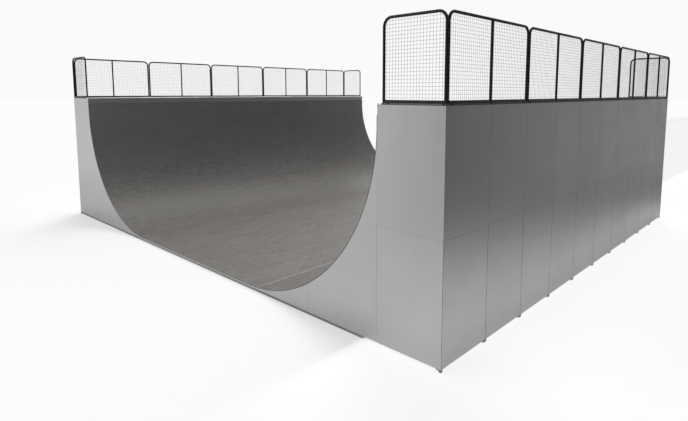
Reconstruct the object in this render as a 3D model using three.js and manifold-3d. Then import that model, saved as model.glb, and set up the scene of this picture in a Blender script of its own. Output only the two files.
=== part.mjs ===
// Half pipe ramp: two facing transitions with a low flat between them, a guarded deck behind each lip,
// sheet cladding on the backs and ends, and welded steel frame modules on footed base rails inside.
// Millimetres. +X runs across the ramp from the flat to a deck, +Y along the coping, +Z up.
// The origin is on the ground under the middle of the flat.
import * as THREE from "three";
import { mergeVertices } from "three/addons/utils/BufferGeometryUtils.js";
import Module from "manifold-3d";

const wasm = await Module();
wasm.setup();

// ---- driving dimensions ----
const PITCH = 1200; // rib lines and cladding sheet width along the coping
const BAYS = 10; // bays along the coping
const HALF_W = (PITCH * BAYS) / 2; // 6000, half the length of the coping
const HALF_L = 6834; // half the ramp's length, to the face of the back cladding
const GAP = 0.3; // clearance between touching pieces

const ARC_R = 3263; // radius of the transition
const ARC_CX = 2388; // the flat ends and the arc starts here
const FLAT_Z = 80; // height of the flat riding surface
const ARC_CZ = FLAT_Z + ARC_R; // 3343, the arc turns vertical here
const LIP_X = ARC_CX + ARC_R; // 5651, the vertical face of the riding surface
const JOINT_A = 4.15; // angle (degrees from straight down) of the joint of flat and transition sheets
const SURFACE_SEGMENTS = 30;

const SKIN = 9; // riding sheet
const PLY = 15; // underlay board
const SHEET = 3; // cladding sheet
const BATTEN = 20; // depth of the batten frame behind the cladding
const SEAM = 6; // open joint between cladding sheets
const SEAM_Y = 11; // the upright joints of the back walls stand this far past the post lines
const CLAD_BOTTOM = 40; // lower edge of the cladding above the ground
const SEAM_Z = 1850; // horizontal cladding joint
const KNEE_X = 4100; // vertical joint of the end cladding at the knee of the curve
const SLIVER_Z = 3050; // top of the narrow end cladding sheet between the curve and the lip line

const CLAD_TOP = 3650; // underside of the deck board
const DECK_T = 27; // deck board
const DECK_TOP = CLAD_TOP + DECK_T; // 3677
const DECK_SETBACK = 8; // deck edge inside the cladding face
const DECK_X = 5741; // the deck board starts behind the coping profile
const COPING_D = 48.3; // coping tube
const COPING_TOP = 3680;
const COPING_FACE_X = 5638; // the tube stands proud of the riding face
const STRIP_BOTTOM = 3500; // recessed steel strip under the coping
const STRIP_RECESS = 8;
const STRIP_T = 6;

const TUBE = 42.4; // guard tube
const GUARD_PLANE = 23; // guard tube centre inside the cladding face
const GUARD_TOP = 4888;
const GUARD_CORNER_R = 150; // outer radius of the guard's top corners
const GUARD_PAIR = 50; // distance between the end posts of two neighbouring back guards
const MESH_T = 4; // thickness of the guard's mesh infill
const LIP_POST_X = 5766; // post of the end guard next to the lip
const LUG_W = 30; // fixing lug under the guard
const LUG_T = 7.5;

const RIB_T = 40; // width of a rib tube
const RIB_CHORD = 50; // depth of a rib tube
const RIB_BOTTOM = 92.3;
const TOE_BOTTOM = 52;
const RIB_SEGMENTS = 10;
const PURLIN = 30;
const RAIL_W = 60; // base rail
const RAIL_Z0 = 50;
const RAIL_Z1 = 92;
const OUTER_RAIL_X = 6778;
const INNER_RAIL_X = 3550;
const FOOT_R = 25; // round foot of the inner rail
const SHOE_W = 40; // pad of an outer foot, along the wall
const SHOE_X0 = 6794;
const SHOE_X1 = 6833;
const SHOE_TOP = 39.7;
const SADDLE_X0 = 6752;
const SADDLE_X1 = 6806;
const SADDLE_Z = 24;
const CORNER_GROOVE = 8; // beside the corner, lower sheets only
const END_RIB_Y = HALF_W - 50; // centre of the end ribs and end feet
const FRAME_OUT_X = 6808; // rear face of the frame modules
const SLEEPER = 40; // width of a member of the flat frame

// ---- helpers ----
const v2 = (p) => p.map(([a, b]) => new THREE.Vector2(a, b));
const extrude = (outline, depth) =>
  new THREE.ExtrudeGeometry(new THREE.Shape(v2(outline)), {
    depth,
    bevelEnabled: false,
    steps: 1,
  });
// a prism with openings cut right through it: lay() puts a profile between two planes
function pierced(lay, outer, lo, hi, holes) {
  if (!holes.length) return lay(outer, lo, hi);
  return holes.reduce(
    (left, h) => left.subtract(solid(lay(h, lo - 5, hi + 5))),
    solid(lay(outer, lo, hi)),
  );
}
// a profile in X,Z carried along Y from y0 to y1
const layY = (outline, y0, y1) =>
  extrude(outline, y1 - y0)
    .rotateX(Math.PI / 2)
    .translate(0, y1, 0);
const alongY = (outer, y0, y1, holes = []) =>
  pierced(layY, outer, y0, y1, holes);
// a profile in Y,Z carried along X from x0 to x1
const YZX = new THREE.Matrix4().makeBasis(
  new THREE.Vector3(0, 1, 0),
  new THREE.Vector3(0, 0, 1),
  new THREE.Vector3(1, 0, 0),
);
const layX = (outline, x0, x1) =>
  extrude(outline, x1 - x0)
    .applyMatrix4(YZX)
    .translate(x0, 0, 0);
const alongX = (outer, x0, x1, holes = []) =>
  pierced(layX, outer, x0, x1, holes);
// a profile in X,Y carried along Z from z0 to z1
const layZ = (outline, z0, z1) => extrude(outline, z1 - z0).translate(0, 0, z0);
const alongZ = (outer, z0, z1, holes = []) =>
  pierced(layZ, outer, z0, z1, holes);
function box(x0, x1, y0, y1, z0, z1) {
  return new THREE.BoxGeometry(
    Math.abs(x1 - x0),
    Math.abs(y1 - y0),
    Math.abs(z1 - z0),
  ).translate((x0 + x1) / 2, (y0 + y1) / 2, (z0 + z1) / 2);
}
const rect = (a0, b0, a1, b1) => [
  [a0, b0],
  [a1, b0],
  [a1, b1],
  [a0, b1],
];
// the same profile on the +X side (s = 1) or on the -X side (s = -1)
const flip = (s, pts) => pts.map(([x, z]) => [s * x, z]);

function solid(geometry) {
  const g = geometry.index ? geometry.toNonIndexed() : geometry.clone();
  g.deleteAttribute("normal");
  g.deleteAttribute("uv");
  const merged = mergeVertices(g, 1e-3);
  const verts = new Float32Array(merged.attributes.position.array);
  const make = (flipped) => {
    const tri = new Uint32Array(merged.index.array);
    if (flipped)
      for (let i = 0; i < tri.length; i += 3)
        [tri[i + 1], tri[i + 2]] = [tri[i + 2], tri[i + 1]];
    return new wasm.Manifold(
      new wasm.Mesh({ numProp: 3, vertProperties: verts, triVerts: tri }),
    );
  };
  const made = make(false);
  return made.volume() < 0 ? make(true) : made;
}
const join = (pieces) =>
  pieces
    .map((p) => (p.isBufferGeometry ? solid(p) : p))
    .reduce((sum, one) => sum.add(one));
function geometryOf(m) {
  const mesh = m.getMesh();
  const n = mesh.numProp;
  const pos = new Float32Array(mesh.numVert * 3);
  for (let i = 0; i < mesh.numVert; i++)
    pos.set(mesh.vertProperties.subarray(i * n, i * n + 3), i * 3);
  const g = new THREE.BufferGeometry();
  g.setAttribute("position", new THREE.BufferAttribute(pos, 3));
  g.setIndex(new THREE.BufferAttribute(new Uint32Array(mesh.triVerts), 1));
  g.computeVertexNormals();
  return g;
}

const finish = (color, roughness, metalness) =>
  new THREE.MeshStandardMaterial({ color, roughness, metalness });
const FINISH = {
  riding: () => finish(0x75716d, 0.55, 0.0),
  ply: () => finish(0xa88458, 0.8, 0.0),
  cladding: () => finish(0xb4b4b4, 0.5, 0.3),
  galvanised: () => finish(0x9da2a6, 0.45, 0.9),
  black: () => finish(0x1a1a1b, 0.5, 0.4),
  deck: () => finish(0x5c5955, 0.7, 0.0),
};

const root = new THREE.Group();
root.name = "half_pipe_ramp";
function add(name, made, material) {
  const mesh = new THREE.Mesh(
    made.isBufferGeometry ? made : geometryOf(made),
    material(),
  );
  mesh.name = name;
  root.add(mesh);
}

// ---- the transition curve ----
// A point at angle a (degrees from straight down), offset outwards from the riding surface.
const onArc = (a, offset) => {
  const t = (a * Math.PI) / 180;
  return [
    ARC_CX + (ARC_R + offset) * Math.sin(t),
    ARC_CZ - (ARC_R + offset) * Math.cos(t),
  ];
};
const arc = (offset, a0, a1, n) =>
  Array.from({ length: n + 1 }, (_, i) =>
    onArc(a0 + ((a1 - a0) * i) / n, offset),
  );
// angle at which the arc of this offset reaches x, or z
const angleAtX = (x, offset) =>
  (Math.asin((x - ARC_CX) / (ARC_R + offset)) * 180) / Math.PI;
const angleAtZ = (z, offset) =>
  (Math.acos((ARC_CZ - z) / (ARC_R + offset)) * 180) / Math.PI;
// vertices moved outwards so that the middles of the chords clear the offset
const cleared = (offset, span, n) =>
  (ARC_R + offset) / Math.cos((span / n / 2) * (Math.PI / 180)) - ARC_R;

const SKIN_IN = 0;
const SKIN_OUT = SKIN;
const PLY_IN = SKIN + GAP;
const PLY_OUT = SKIN + GAP + PLY;
const FRAME_IN = PLY_OUT + GAP;

// ---- riding surface and underlay ----
const SHEET_TOP = STRIP_BOTTOM - 2;
function transitionBoard(s, inner, outer, halfW) {
  const lower = arc(outer, JOINT_A, 90, SURFACE_SEGMENTS);
  const upper = arc(inner, JOINT_A, 90, SURFACE_SEGMENTS);
  const pts = [
    ...lower,
    [LIP_X + outer, SHEET_TOP],
    [LIP_X + inner, SHEET_TOP],
    ...upper.reverse(),
  ];
  return alongY(flip(s, pts), -halfW, halfW);
}
const JOINT_GAP_A = (2.5 / ARC_R) * (180 / Math.PI); // 2.5 mm along the surface
function flatBoard(inner, outer, halfW) {
  const a1 = JOINT_A - JOINT_GAP_A;
  const up = arc(inner, 0, a1, 2);
  const low = arc(outer, 0, a1, 2);
  const pts = [
    ...flip(-1, low).reverse(),
    ...low,
    ...up.reverse(),
    ...flip(-1, arc(inner, 0, a1, 2)),
  ];
  return alongY(pts, -halfW, halfW);
}
add("flat_riding_sheets", flatBoard(SKIN_IN, SKIN_OUT, HALF_W), FINISH.riding);
add(
  "flat_plywood_underlay",
  flatBoard(PLY_IN, PLY_OUT, HALF_W - SHEET - 0.6),
  FINISH.ply,
);

// ---- low frame grid under the flat ----
const FLAT_FRAME_X = 2630;
const FLAT_FRAME_TOP = FLAT_Z - FRAME_IN; // 55.4
for (let k = 0; k < BAYS / 2; k++) {
  const y0 = Math.max(-HALF_W + 2 * PITCH * k, -END_RIB_Y - 20) + 1;
  const y1 = Math.min(-HALF_W + 2 * PITCH * (k + 1), END_RIB_Y + 20) - 1;
  const ym = -HALF_W + 2 * PITCH * k + PITCH;
  const holes = [];
  const cross = [-FLAT_FRAME_X, -1318, 0, 1318, FLAT_FRAME_X];
  for (let i = 0; i < 4; i++) {
    const x0 = cross[i] + (i === 0 ? SLEEPER : SLEEPER / 2);
    const x1 = cross[i + 1] - (i === 3 ? SLEEPER : SLEEPER / 2);
    holes.push(rect(x0, y0 + SLEEPER, x1, ym - SLEEPER / 2));
    holes.push(rect(x0, ym + SLEEPER / 2, x1, y1 - SLEEPER));
  }
  add(
    `flat_frame_${k + 1}`,
    alongZ(
      rect(-FLAT_FRAME_X, y0, FLAT_FRAME_X, y1),
      0,
      FLAT_FRAME_TOP,
      holes,
    ),
    FINISH.galvanised,
  );
}

// ---- pieces that come in a left and a right version ----
const toeSpan = 90 - JOINT_A;
const RIB_OFF = cleared(FRAME_IN, toeSpan, RIB_SEGMENTS);
const INNER_OFF = RIB_OFF + RIB_CHORD;

// the corner under the coping tube is left free for it
const NOTCH_X = COPING_FACE_X + COPING_D + 2;
const NOTCH_Z = COPING_TOP - COPING_D - 2;

// truss rib: outline and openings in X,Z
function ribProfile() {
  const xLip = LIP_X + RIB_OFF;
  const outer = [
    [onArc(JOINT_A + 0.1, RIB_OFF)[0], TOE_BOTTOM],
    [INNER_RAIL_X - RAIL_W / 2 - 10, TOE_BOTTOM],
    [INNER_RAIL_X - RAIL_W / 2 - 10, RIB_BOTTOM],
    [FRAME_OUT_X, RIB_BOTTOM],
    [FRAME_OUT_X, CLAD_TOP - 0.6],
    [NOTCH_X, CLAD_TOP - 0.6],
    [NOTCH_X, NOTCH_Z],
    [xLip, NOTCH_Z],
    ...arc(RIB_OFF, JOINT_A + 0.1, 90, RIB_SEGMENTS).reverse(),
  ];
  const zLow = RIB_BOTTOM + RIB_CHORD;
  const xPost = xLip + RIB_CHORD;
  const xRear = FRAME_OUT_X - RIB_CHORD;
  const mid = SEAM_Z;
  const h = RIB_CHORD / 2;
  const diag = 70; // half of the diagonal's vertical width at a corner
  // rear bay, each half split by a diagonal tube
  const holes = [
    [
      [xPost, zLow + diag],
      [xRear - diag * 0.6, mid - h],
      [xPost, mid - h],
    ],
    [
      [xPost + diag * 0.6, zLow],
      [xRear, zLow],
      [xRear, mid - h - diag],
    ],
    [
      [xPost, mid + h],
      [xRear - diag * 0.6, mid + h],
      [xPost, CLAD_TOP - 51 - diag],
    ],
    [
      [xRear, mid + h + diag],
      [xRear, CLAD_TOP - 51],
      [xPost + diag * 0.6, CLAD_TOP - 51],
    ],
  ];
  // under the curve, between the knee post and the lip post
  const xKnee = KNEE_X + RIB_CHORD;
  const aKnee = angleAtX(xKnee, INNER_OFF);
  const aTop = angleAtX(xLip - 30, INNER_OFF);
  const curve = arc(INNER_OFF, aKnee, aTop, 5);
  const split = curve[2];
  holes.push([
    [xKnee, zLow],
    [xLip - diag, zLow],
    [split[0] - 20, split[1] - 40],
    ...curve.slice(0, 2).reverse(),
  ]);
  holes.push([
    [xLip, zLow + diag],
    [xLip, onArc(aTop, INNER_OFF)[1] - 60],
    ...curve.slice(3).reverse(),
    [split[0] + 30, split[1] + 25],
  ]);
  // toe bay
  const xToe = INNER_RAIL_X + 60;
  const aToe0 = angleAtX(xToe, INNER_OFF);
  const aToe1 = angleAtX(KNEE_X, INNER_OFF);
  holes.push([
    [xToe, zLow],
    [KNEE_X, zLow],
    ...arc(INNER_OFF, aToe0, aToe1, 2).reverse(),
  ]);
  return { outer, holes };
}

function endCladding(s, end) {
  // end = -1 is the near end, 1 the far end
  const yo = end * HALF_W;
  const yi = end * (HALF_W - SHEET);
  const yb = end * (HALF_W - SHEET - BATTEN);
  const yLo = Math.min(yo, yi);
  const yHi = Math.max(yo, yi);
  const off = cleared(PLY_IN, 30, 11);
  const h = SEAM / 2;
  const top = CLAD_TOP - GAP;
  const toeA = JOINT_A;
  // sheet 1: toe to knee
  const aK = angleAtX(KNEE_X - h, off);
  const toeX = onArc(toeA, off)[0];
  const sheets = [
    [
      [toeX, CLAD_BOTTOM],
      [KNEE_X - h, CLAD_BOTTOM],
      ...arc(off, toeA, aK, 11).reverse(),
    ],
  ];
  // sheet 2: knee to lip line, below the mid joint
  const aK2 = angleAtX(KNEE_X + h, off);
  const aM = angleAtZ(SEAM_Z - h, off);
  sheets.push([
    [KNEE_X + h, CLAD_BOTTOM],
    [LIP_X + 10 - h, CLAD_BOTTOM],
    [LIP_X + 10 - h, SEAM_Z - h],
    ...arc(off, aK2, aM, 11).reverse(),
  ]);
  // sheet 3: behind the lip line, below the mid joint
  sheets.push(rect(LIP_X + 10 + h, CLAD_BOTTOM, HALF_L, SEAM_Z - h));
  // sheet 4: above the mid joint, from the curve to the lip line, up to where it runs out
  const aM2 = angleAtZ(SEAM_Z + h, off);
  const aSliver = angleAtZ(SLIVER_Z, off);
  sheets.push([
    [LIP_X + 10 - h, SEAM_Z + h],
    [LIP_X + 10 - h, onArc(aSliver, off)[1]],
    ...arc(off, aM2, aSliver, 8).reverse(),
  ]);
  // sheet 5: above the mid joint, behind the lip line, and over the end of sheet 4
  const aOver = angleAtZ(SLIVER_Z + SEAM, off);
  sheets.push([
    [LIP_X + 10 + h, SEAM_Z + h],
    [HALF_L, SEAM_Z + h],
    [HALF_L, top],
    [NOTCH_X, top],
    [NOTCH_X, NOTCH_Z],
    [LIP_X + off, NOTCH_Z],
    ...arc(off, aOver, 90, 2).reverse(),
    [LIP_X + 10 + h, onArc(aOver, off)[1]],
  ]);
  const parts = sheets.map((p) => alongY(flip(s, p), yLo, yHi));
  // batten frame behind the joints and edges
  const bo = cleared(FRAME_IN, toeSpan, RIB_SEGMENTS);
  const bi = bo + 60;
  const bx = HALF_L - SHEET - BATTEN - 0.6;
  const z0 = CLAD_BOTTOM + 10;
  const z1 = top - 2;
  const t = 30;
  const xK = KNEE_X;
  const xL = LIP_X + 10;
  const aToe = angleAtX(2700, bo);
  const outer = [
    [onArc(aToe, bo)[0], z0],
    [bx, z0],
    [bx, z1],
    [NOTCH_X + 5, z1],
    [NOTCH_X + 5, NOTCH_Z - 5],
    [LIP_X + bo, NOTCH_Z - 5],
    ...arc(bo, aToe, 90, RIB_SEGMENTS).reverse(),
  ];
  const aA = angleAtX(xK + t, bi);
  const aB = angleAtZ(SEAM_Z - t, bi);
  const holes = [
    [
      [xK - t, z0 + 60],
      [xK - t, onArc(angleAtX(xK - t, bi), bi)[1]],
      ...arc(bi, angleAtX(3500, bi), angleAtX(xK - t, bi), 2)
        .slice(0, 2)
        .reverse(),
      [3500, z0 + 60],
    ],
    [
      [xK + t, z0 + 60],
      [xL - t, z0 + 60],
      [xL - t, SEAM_Z - t],
      ...arc(bi, aA, aB, 4).reverse(),
    ],
    rect(xL + t, z0 + 60, bx - 60, SEAM_Z - t),
    rect(xL + 90, SEAM_Z + t, bx - 60, z1 - 60),
  ];
  parts.push(
    alongY(
      flip(s, outer),
      Math.min(yi, yb),
      Math.max(yi, yb),
      holes.map((h2) => flip(s, h2)),
    ),
  );
  return join(parts);
}

function backCladding(s, k) {
  const h = SEAM / 2;
  const yA = -HALF_W + 2 * PITCH * k + SEAM_Y;
  const yM = yA + PITCH;
  const yB = yM + PITCH;
  const first = k === 0;
  const last = k === BAYS / 2 - 1;
  const y0 = first ? -HALF_W + SHEET + GAP : yA + h;
  const y1 = last ? HALF_W - SHEET - GAP : yB - h;
  const top = CLAD_TOP - GAP;
  const xo = s * HALF_L;
  const xi = s * (HALF_L - SHEET);
  const xb = s * (HALF_L - SHEET - BATTEN);
  const parts = [];
  for (const [a, b] of [
    [y0, yM - h],
    [yM + h, y1],
  ])
    for (const [c, d] of [
      [CLAD_BOTTOM, SEAM_Z - h],
      [SEAM_Z + h, top],
    ]) {
      // the lower sheets stop short of the corner
      const low = c === CLAD_BOTTOM;
      const ya = low && a === -HALF_W + SHEET + GAP ? -HALF_W + SHEET + CORNER_GROOVE : a;
      const yb = low && b === HALF_W - SHEET - GAP ? HALF_W - SHEET - CORNER_GROOVE : b;
      parts.push(box(xi, xo, ya, yb, c, d));
    }
  // batten frame, 1 mm clear of its neighbours
  const b0 = first ? -HALF_W + SHEET + BATTEN + 0.6 : yA + 0.5;
  const b1 = last ? HALF_W - SHEET - BATTEN - 0.6 : yB - 0.5;
  const t = 30;
  const z0 = CLAD_BOTTOM + 10;
  const z1 = top - 2;
  const holes = [];
  for (const [a, b] of [
    [b0 + t, yM - t],
    [yM + t, b1 - t],
  ])
    for (const [c, d] of [
      [z0 + 60, SEAM_Z - t],
      [SEAM_Z + t, z1 - 60],
    ])
      holes.push(rect(a, c, b, d));
  parts.push(
    alongX(
      rect(b0, z0, b1, z1),
      Math.min(xi, xb),
      Math.max(xi, xb),
      holes,
    ),
  );
  return join(parts);
}

// guard in its own plane: u along the guard, z up; returns u,z profiles
function guardProfiles(u0, u1, centre) {
  const r = TUBE / 2;
  const zb = DECK_TOP + GAP;
  const a = u0 - r;
  const b = u1 + r;
  const corner = (cx, cz, rad, from, to, n) =>
    Array.from({ length: n + 1 }, (_, i) => {
      const t = ((from + ((to - from) * i) / n) * Math.PI) / 180;
      return [cx + rad * Math.cos(t), cz + rad * Math.sin(t)];
    });
  const R = GUARD_CORNER_R;
  const ri = R - TUBE;
  const cz = GUARD_TOP - R;
  const outer = [
    [a, zb],
    [b, zb],
    ...corner(b - R, cz, R, 0, 90, 4),
    ...corner(a + R, cz, R, 90, 180, 4),
  ];
  const zi = zb + TUBE;
  const windows = [];
  const left = u0 + r;
  const right = u1 - r;
  if (centre === null)
    windows.push([
      [left, zi],
      [right, zi],
      ...corner(b - R, cz, ri, 0, 90, 4),
      ...corner(a + R, cz, ri, 90, 180, 4),
    ]);
  else {
    windows.push([
      [left, zi],
      [centre - r, zi],
      [centre - r, GUARD_TOP - TUBE],
      ...corner(a + R, cz, ri, 90, 180, 4),
    ]);
    windows.push([
      [centre + r, zi],
      [right, zi],
      ...corner(b - R, cz, ri, 0, 90, 4),
      [centre + r, GUARD_TOP - TUBE],
    ]);
  }
  // the mesh runs to the middle of the tubes
  const rm = R - r;
  const mesh = [
    [u0, zb + r],
    [u1, zb + r],
    ...corner(b - R, cz, rm, 0, 90, 2),
    ...corner(a + R, cz, rm, 90, 180, 2),
  ];
  return { outer, windows, mesh };
}
const LUG_Z0 = CLAD_TOP + 4;
const LUG_Z1 = DECK_TOP + GAP + TUBE / 2 + 5;
function backGuard(s, k) {
  const first = k === 0;
  const last = k === BAYS / 2 - 1;
  const yc = -HALF_W + 2 * PITCH * k + PITCH;
  // the end frames stop one tube short of the corner, where the end guard's post stands
  const u0 = first
    ? -(HALF_W - GUARD_PLANE) + TUBE + 1
    : yc - PITCH + GUARD_PAIR / 2;
  const u1 = last
    ? HALF_W - GUARD_PLANE - TUBE - 1
    : yc + PITCH - GUARD_PAIR / 2;
  const p = guardProfiles(u0, u1, yc);
  const xc = s * (HALF_L - GUARD_PLANE);
  const parts = [
    alongX(p.outer, xc - TUBE / 2, xc + TUBE / 2, p.windows),
    alongX(p.mesh, xc - MESH_T / 2, xc + MESH_T / 2),
  ];
  const xf = s * (HALF_L - 0.2);
  for (const y of [u0 + 85, yc, u1 - 85])
    parts.push(
      box(xf - s * LUG_T, xf, y - LUG_W / 2, y + LUG_W / 2, LUG_Z0, LUG_Z1),
    );
  return join(parts);
}
function endGuard(s, end) {
  const u0 = LIP_POST_X;
  const u1 = HALF_L - GUARD_PLANE;
  const p = guardProfiles(u0, u1, null);
  const yc = end * (HALF_W - GUARD_PLANE);
  const parts = [
    alongY(
      flip(s, p.outer),
      yc - TUBE / 2,
      yc + TUBE / 2,
      p.windows.map((w) => flip(s, w)),
    ),
    alongY(flip(s, p.mesh), yc - MESH_T / 2, yc + MESH_T / 2),
  ];
  const yf = end * (HALF_W - 0.2);
  for (const x of [u0 + 86, u1 - 20])
    parts.push(
      box(
        s * x - LUG_W / 2,
        s * x + LUG_W / 2,
        yf - end * LUG_T,
        yf,
        LUG_Z0,
        LUG_Z1,
      ),
    );
  return join(parts);
}

function foot(x, y) {
  // round foot with a chamfered lower edge
  return new THREE.LatheGeometry(
    v2([
      [0, 0],
      [FOOT_R - 6, 0],
      [FOOT_R, 10],
      [FOOT_R, RAIL_Z0 + 15],
      [0, RAIL_Z0 + 15],
    ]),
    6,
  )
    .rotateX(Math.PI / 2)
    .translate(x, y, 0);
}
function footLine(j) {
  return Math.max(-END_RIB_Y + 5, Math.min(END_RIB_Y - 5, -HALF_W + PITCH * j));
}
function shoe(s, j) {
  // pads under the edge of the wall, one each side of a cladding joint, on a saddle under the rail
  const y = -HALF_W + PITCH * j + (j > 0 && j < BAYS ? SEAM_Y : 0);
  const h = SEAM / 2;
  const pads = [];
  if (j > 0) pads.push([Math.max(y - SHOE_W, -HALF_W), y - h]);
  if (j < BAYS) pads.push([y + h, Math.min(y + SHOE_W, HALF_W)]);
  if (j === 0) pads[0][0] = y + 1;
  if (j === BAYS) pads[0][1] = y - 1;
  const y0 = pads[0][0];
  const y1 = pads[pads.length - 1][1];
  const railEnd = END_RIB_Y + 18;
  return [
    ...pads.map(([a, b]) => box(s * SHOE_X0, s * SHOE_X1, a, b, 0, SHOE_TOP)),
    box(s * SADDLE_X0, s * SADDLE_X1, y0, y1, SADDLE_Z, SHOE_TOP),
    box(
      s * SADDLE_X0,
      s * SADDLE_X1,
      Math.max(y0, -railEnd) - (j === BAYS ? 30 : 0),
      Math.min(y1, railEnd) + (j === 0 ? 30 : 0),
      SADDLE_Z,
      RAIL_Z0 + 10,
    ),
  ];
}
function baseRail(s, x) {
  const parts = [
    box(
      s * x - RAIL_W / 2,
      s * x + RAIL_W / 2,
      -END_RIB_Y - 20,
      END_RIB_Y + 20,
      RAIL_Z0,
      RAIL_Z1,
    ),
  ];
  for (let j = 0; j <= BAYS; j++)
    if (x === OUTER_RAIL_X) parts.push(...shoe(s, j));
    else parts.push(foot(s * x, footLine(j)));
  return join(parts);
}

for (const [side, s] of [
  ["right", 1],
  ["left", -1],
]) {
  add(
    `${side}_transition_riding_sheets`,
    transitionBoard(s, SKIN_IN, SKIN_OUT, HALF_W),
    FINISH.riding,
  );
  add(
    `${side}_transition_plywood_underlay`,
    transitionBoard(s, PLY_IN, PLY_OUT, HALF_W - SHEET - 0.6),
    FINISH.ply,
  );

  // frame modules: a rib on each 1.2 m line, the line shared with the next module is carried by that module
  const rib = ribProfile();
  const xLip = LIP_X + RIB_OFF;
  for (let k = 0; k < BAYS / 2; k++) {
    const lines = [2 * k, 2 * k + 1];
    if (k === BAYS / 2 - 1) lines.push(BAYS);
    const ys = lines.map((j) =>
      Math.max(-END_RIB_Y, Math.min(END_RIB_Y, -HALF_W + PITCH * j)),
    );
    const parts = ys.map((y) =>
      alongY(
        flip(s, rib.outer),
        y - RIB_T / 2,
        y + RIB_T / 2,
        rib.holes.map((h) => flip(s, h)),
      ),
    );
    // purlins run on to the face of the next module's first rib
    const yEnd =
      k === BAYS / 2 - 1
        ? ys[ys.length - 1]
        : -HALF_W + PITCH * (2 * k + 2) - RIB_T / 2 - GAP;
    const purlins = [
      [FRAME_OUT_X - 40, CLAD_TOP - 41], // deck, rear
      [NOTCH_X + 8, CLAD_TOP - 41], // deck, at the lip
      [FRAME_OUT_X - 40, SEAM_Z - 15], // rear, at the cladding joint
      [FRAME_OUT_X - 40, RIB_BOTTOM + 10], // rear, bottom
    ];
    for (const a of [24, 52]) {
      const [x, z] = onArc(a, RIB_OFF + 28);
      purlins.push([x - PURLIN / 2, z - PURLIN / 2]);
    }
    for (const [x, z] of purlins)
      parts.push(
        alongY(
          flip(s, rect(x, z, x + PURLIN, z + PURLIN)),
          ys[0],
          yEnd,
        ),
      );
    add(`${side}_frame_module_${k + 1}`, join(parts), FINISH.galvanised);
  }

  add(`${side}_outer_base_rail`, baseRail(s, OUTER_RAIL_X), FINISH.galvanised);
  add(`${side}_inner_base_rail`, baseRail(s, INNER_RAIL_X), FINISH.galvanised);

  // coping: tube, edge profile behind it, recessed strip under it
  const cx = COPING_FACE_X + COPING_D / 2;
  const cz = COPING_TOP - COPING_D / 2;
  const ring = Array.from({ length: 16 }, (_, i) => {
    const t = ((i + 0.5) * Math.PI) / 8;
    const r = COPING_D / 2 / Math.cos(Math.PI / 16);
    return [cx + r * Math.cos(t), cz + r * Math.sin(t)];
  });
  add(
    `${side}_coping`,
    join([
      alongY(flip(s, ring), -HALF_W, HALF_W),
      alongY(
        flip(s, rect(cx + 6, CLAD_TOP + GAP, DECK_X - GAP, DECK_TOP)),
        -HALF_W,
        HALF_W,
      ),
      alongY(
        flip(
          s,
          rect(
            LIP_X + STRIP_RECESS,
            STRIP_BOTTOM,
            LIP_X + STRIP_RECESS + STRIP_T,
            cz,
          ),
        ),
        -HALF_W + SHEET + 0.6,
        HALF_W - SHEET - 0.6,
      ),
    ]),
    FINISH.galvanised,
  );

  add(
    `${side}_deck_boards`,
    alongY(
      flip(s, rect(DECK_X, CLAD_TOP, HALF_L - DECK_SETBACK, DECK_TOP)),
      -HALF_W + DECK_SETBACK,
      HALF_W - DECK_SETBACK,
    ),
    FINISH.deck,
  );

  for (let k = 0; k < BAYS / 2; k++)
    add(`${side}_back_cladding_${k + 1}`, backCladding(s, k), FINISH.cladding);
  add(`${side}_near_end_cladding`, endCladding(s, -1), FINISH.cladding);
  add(`${side}_far_end_cladding`, endCladding(s, 1), FINISH.cladding);

  for (let k = 0; k < BAYS / 2; k++)
    add(`${side}_back_guard_${k + 1}`, backGuard(s, k), FINISH.black);
  add(`${side}_near_end_guard`, endGuard(s, -1), FINISH.black);
  add(`${side}_far_end_guard`, endGuard(s, 1), FINISH.black);
}

// ---- low edge strips along the open sides of the flat ----
for (const [name, end] of [
  ["near_flat_edge_strip", -1],
  ["far_flat_edge_strip", 1],
]) {
  const a1 = JOINT_A - JOINT_GAP_A;
  const up = arc(PLY_IN, 0, a1, 2);
  const pts = [
    [-up[2][0], CLAD_BOTTOM],
    [up[2][0], CLAD_BOTTOM],
    ...up.slice().reverse(),
    ...flip(-1, up),
  ];
  const yo = end * HALF_W;
  const yi = end * (HALF_W - SHEET);
  add(
    name,
    alongY(pts, Math.min(yo, yi), Math.max(yo, yi)),
    FINISH.cladding,
  );
}

export default root;
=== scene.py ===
"""Half pipe ramp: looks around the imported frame. Metres, +X across the ramp, +Y along the coping, +Z up."""

import math
import random

import bmesh
import bpy
from mathutils import Matrix, Vector

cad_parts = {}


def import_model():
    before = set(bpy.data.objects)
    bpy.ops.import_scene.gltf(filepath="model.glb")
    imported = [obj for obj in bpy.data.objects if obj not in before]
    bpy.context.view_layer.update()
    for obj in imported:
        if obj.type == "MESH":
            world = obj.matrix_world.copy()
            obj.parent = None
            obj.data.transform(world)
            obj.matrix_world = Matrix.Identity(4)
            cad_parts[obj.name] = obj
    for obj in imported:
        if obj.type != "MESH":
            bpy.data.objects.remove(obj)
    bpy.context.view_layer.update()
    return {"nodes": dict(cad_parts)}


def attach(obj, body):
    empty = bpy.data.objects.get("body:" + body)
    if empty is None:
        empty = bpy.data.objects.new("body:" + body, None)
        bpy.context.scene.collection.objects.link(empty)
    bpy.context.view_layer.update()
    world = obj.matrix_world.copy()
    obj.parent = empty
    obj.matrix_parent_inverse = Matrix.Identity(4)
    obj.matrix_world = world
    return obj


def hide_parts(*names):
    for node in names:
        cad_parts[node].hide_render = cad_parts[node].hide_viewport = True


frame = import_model()

rng = random.Random(7)

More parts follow.
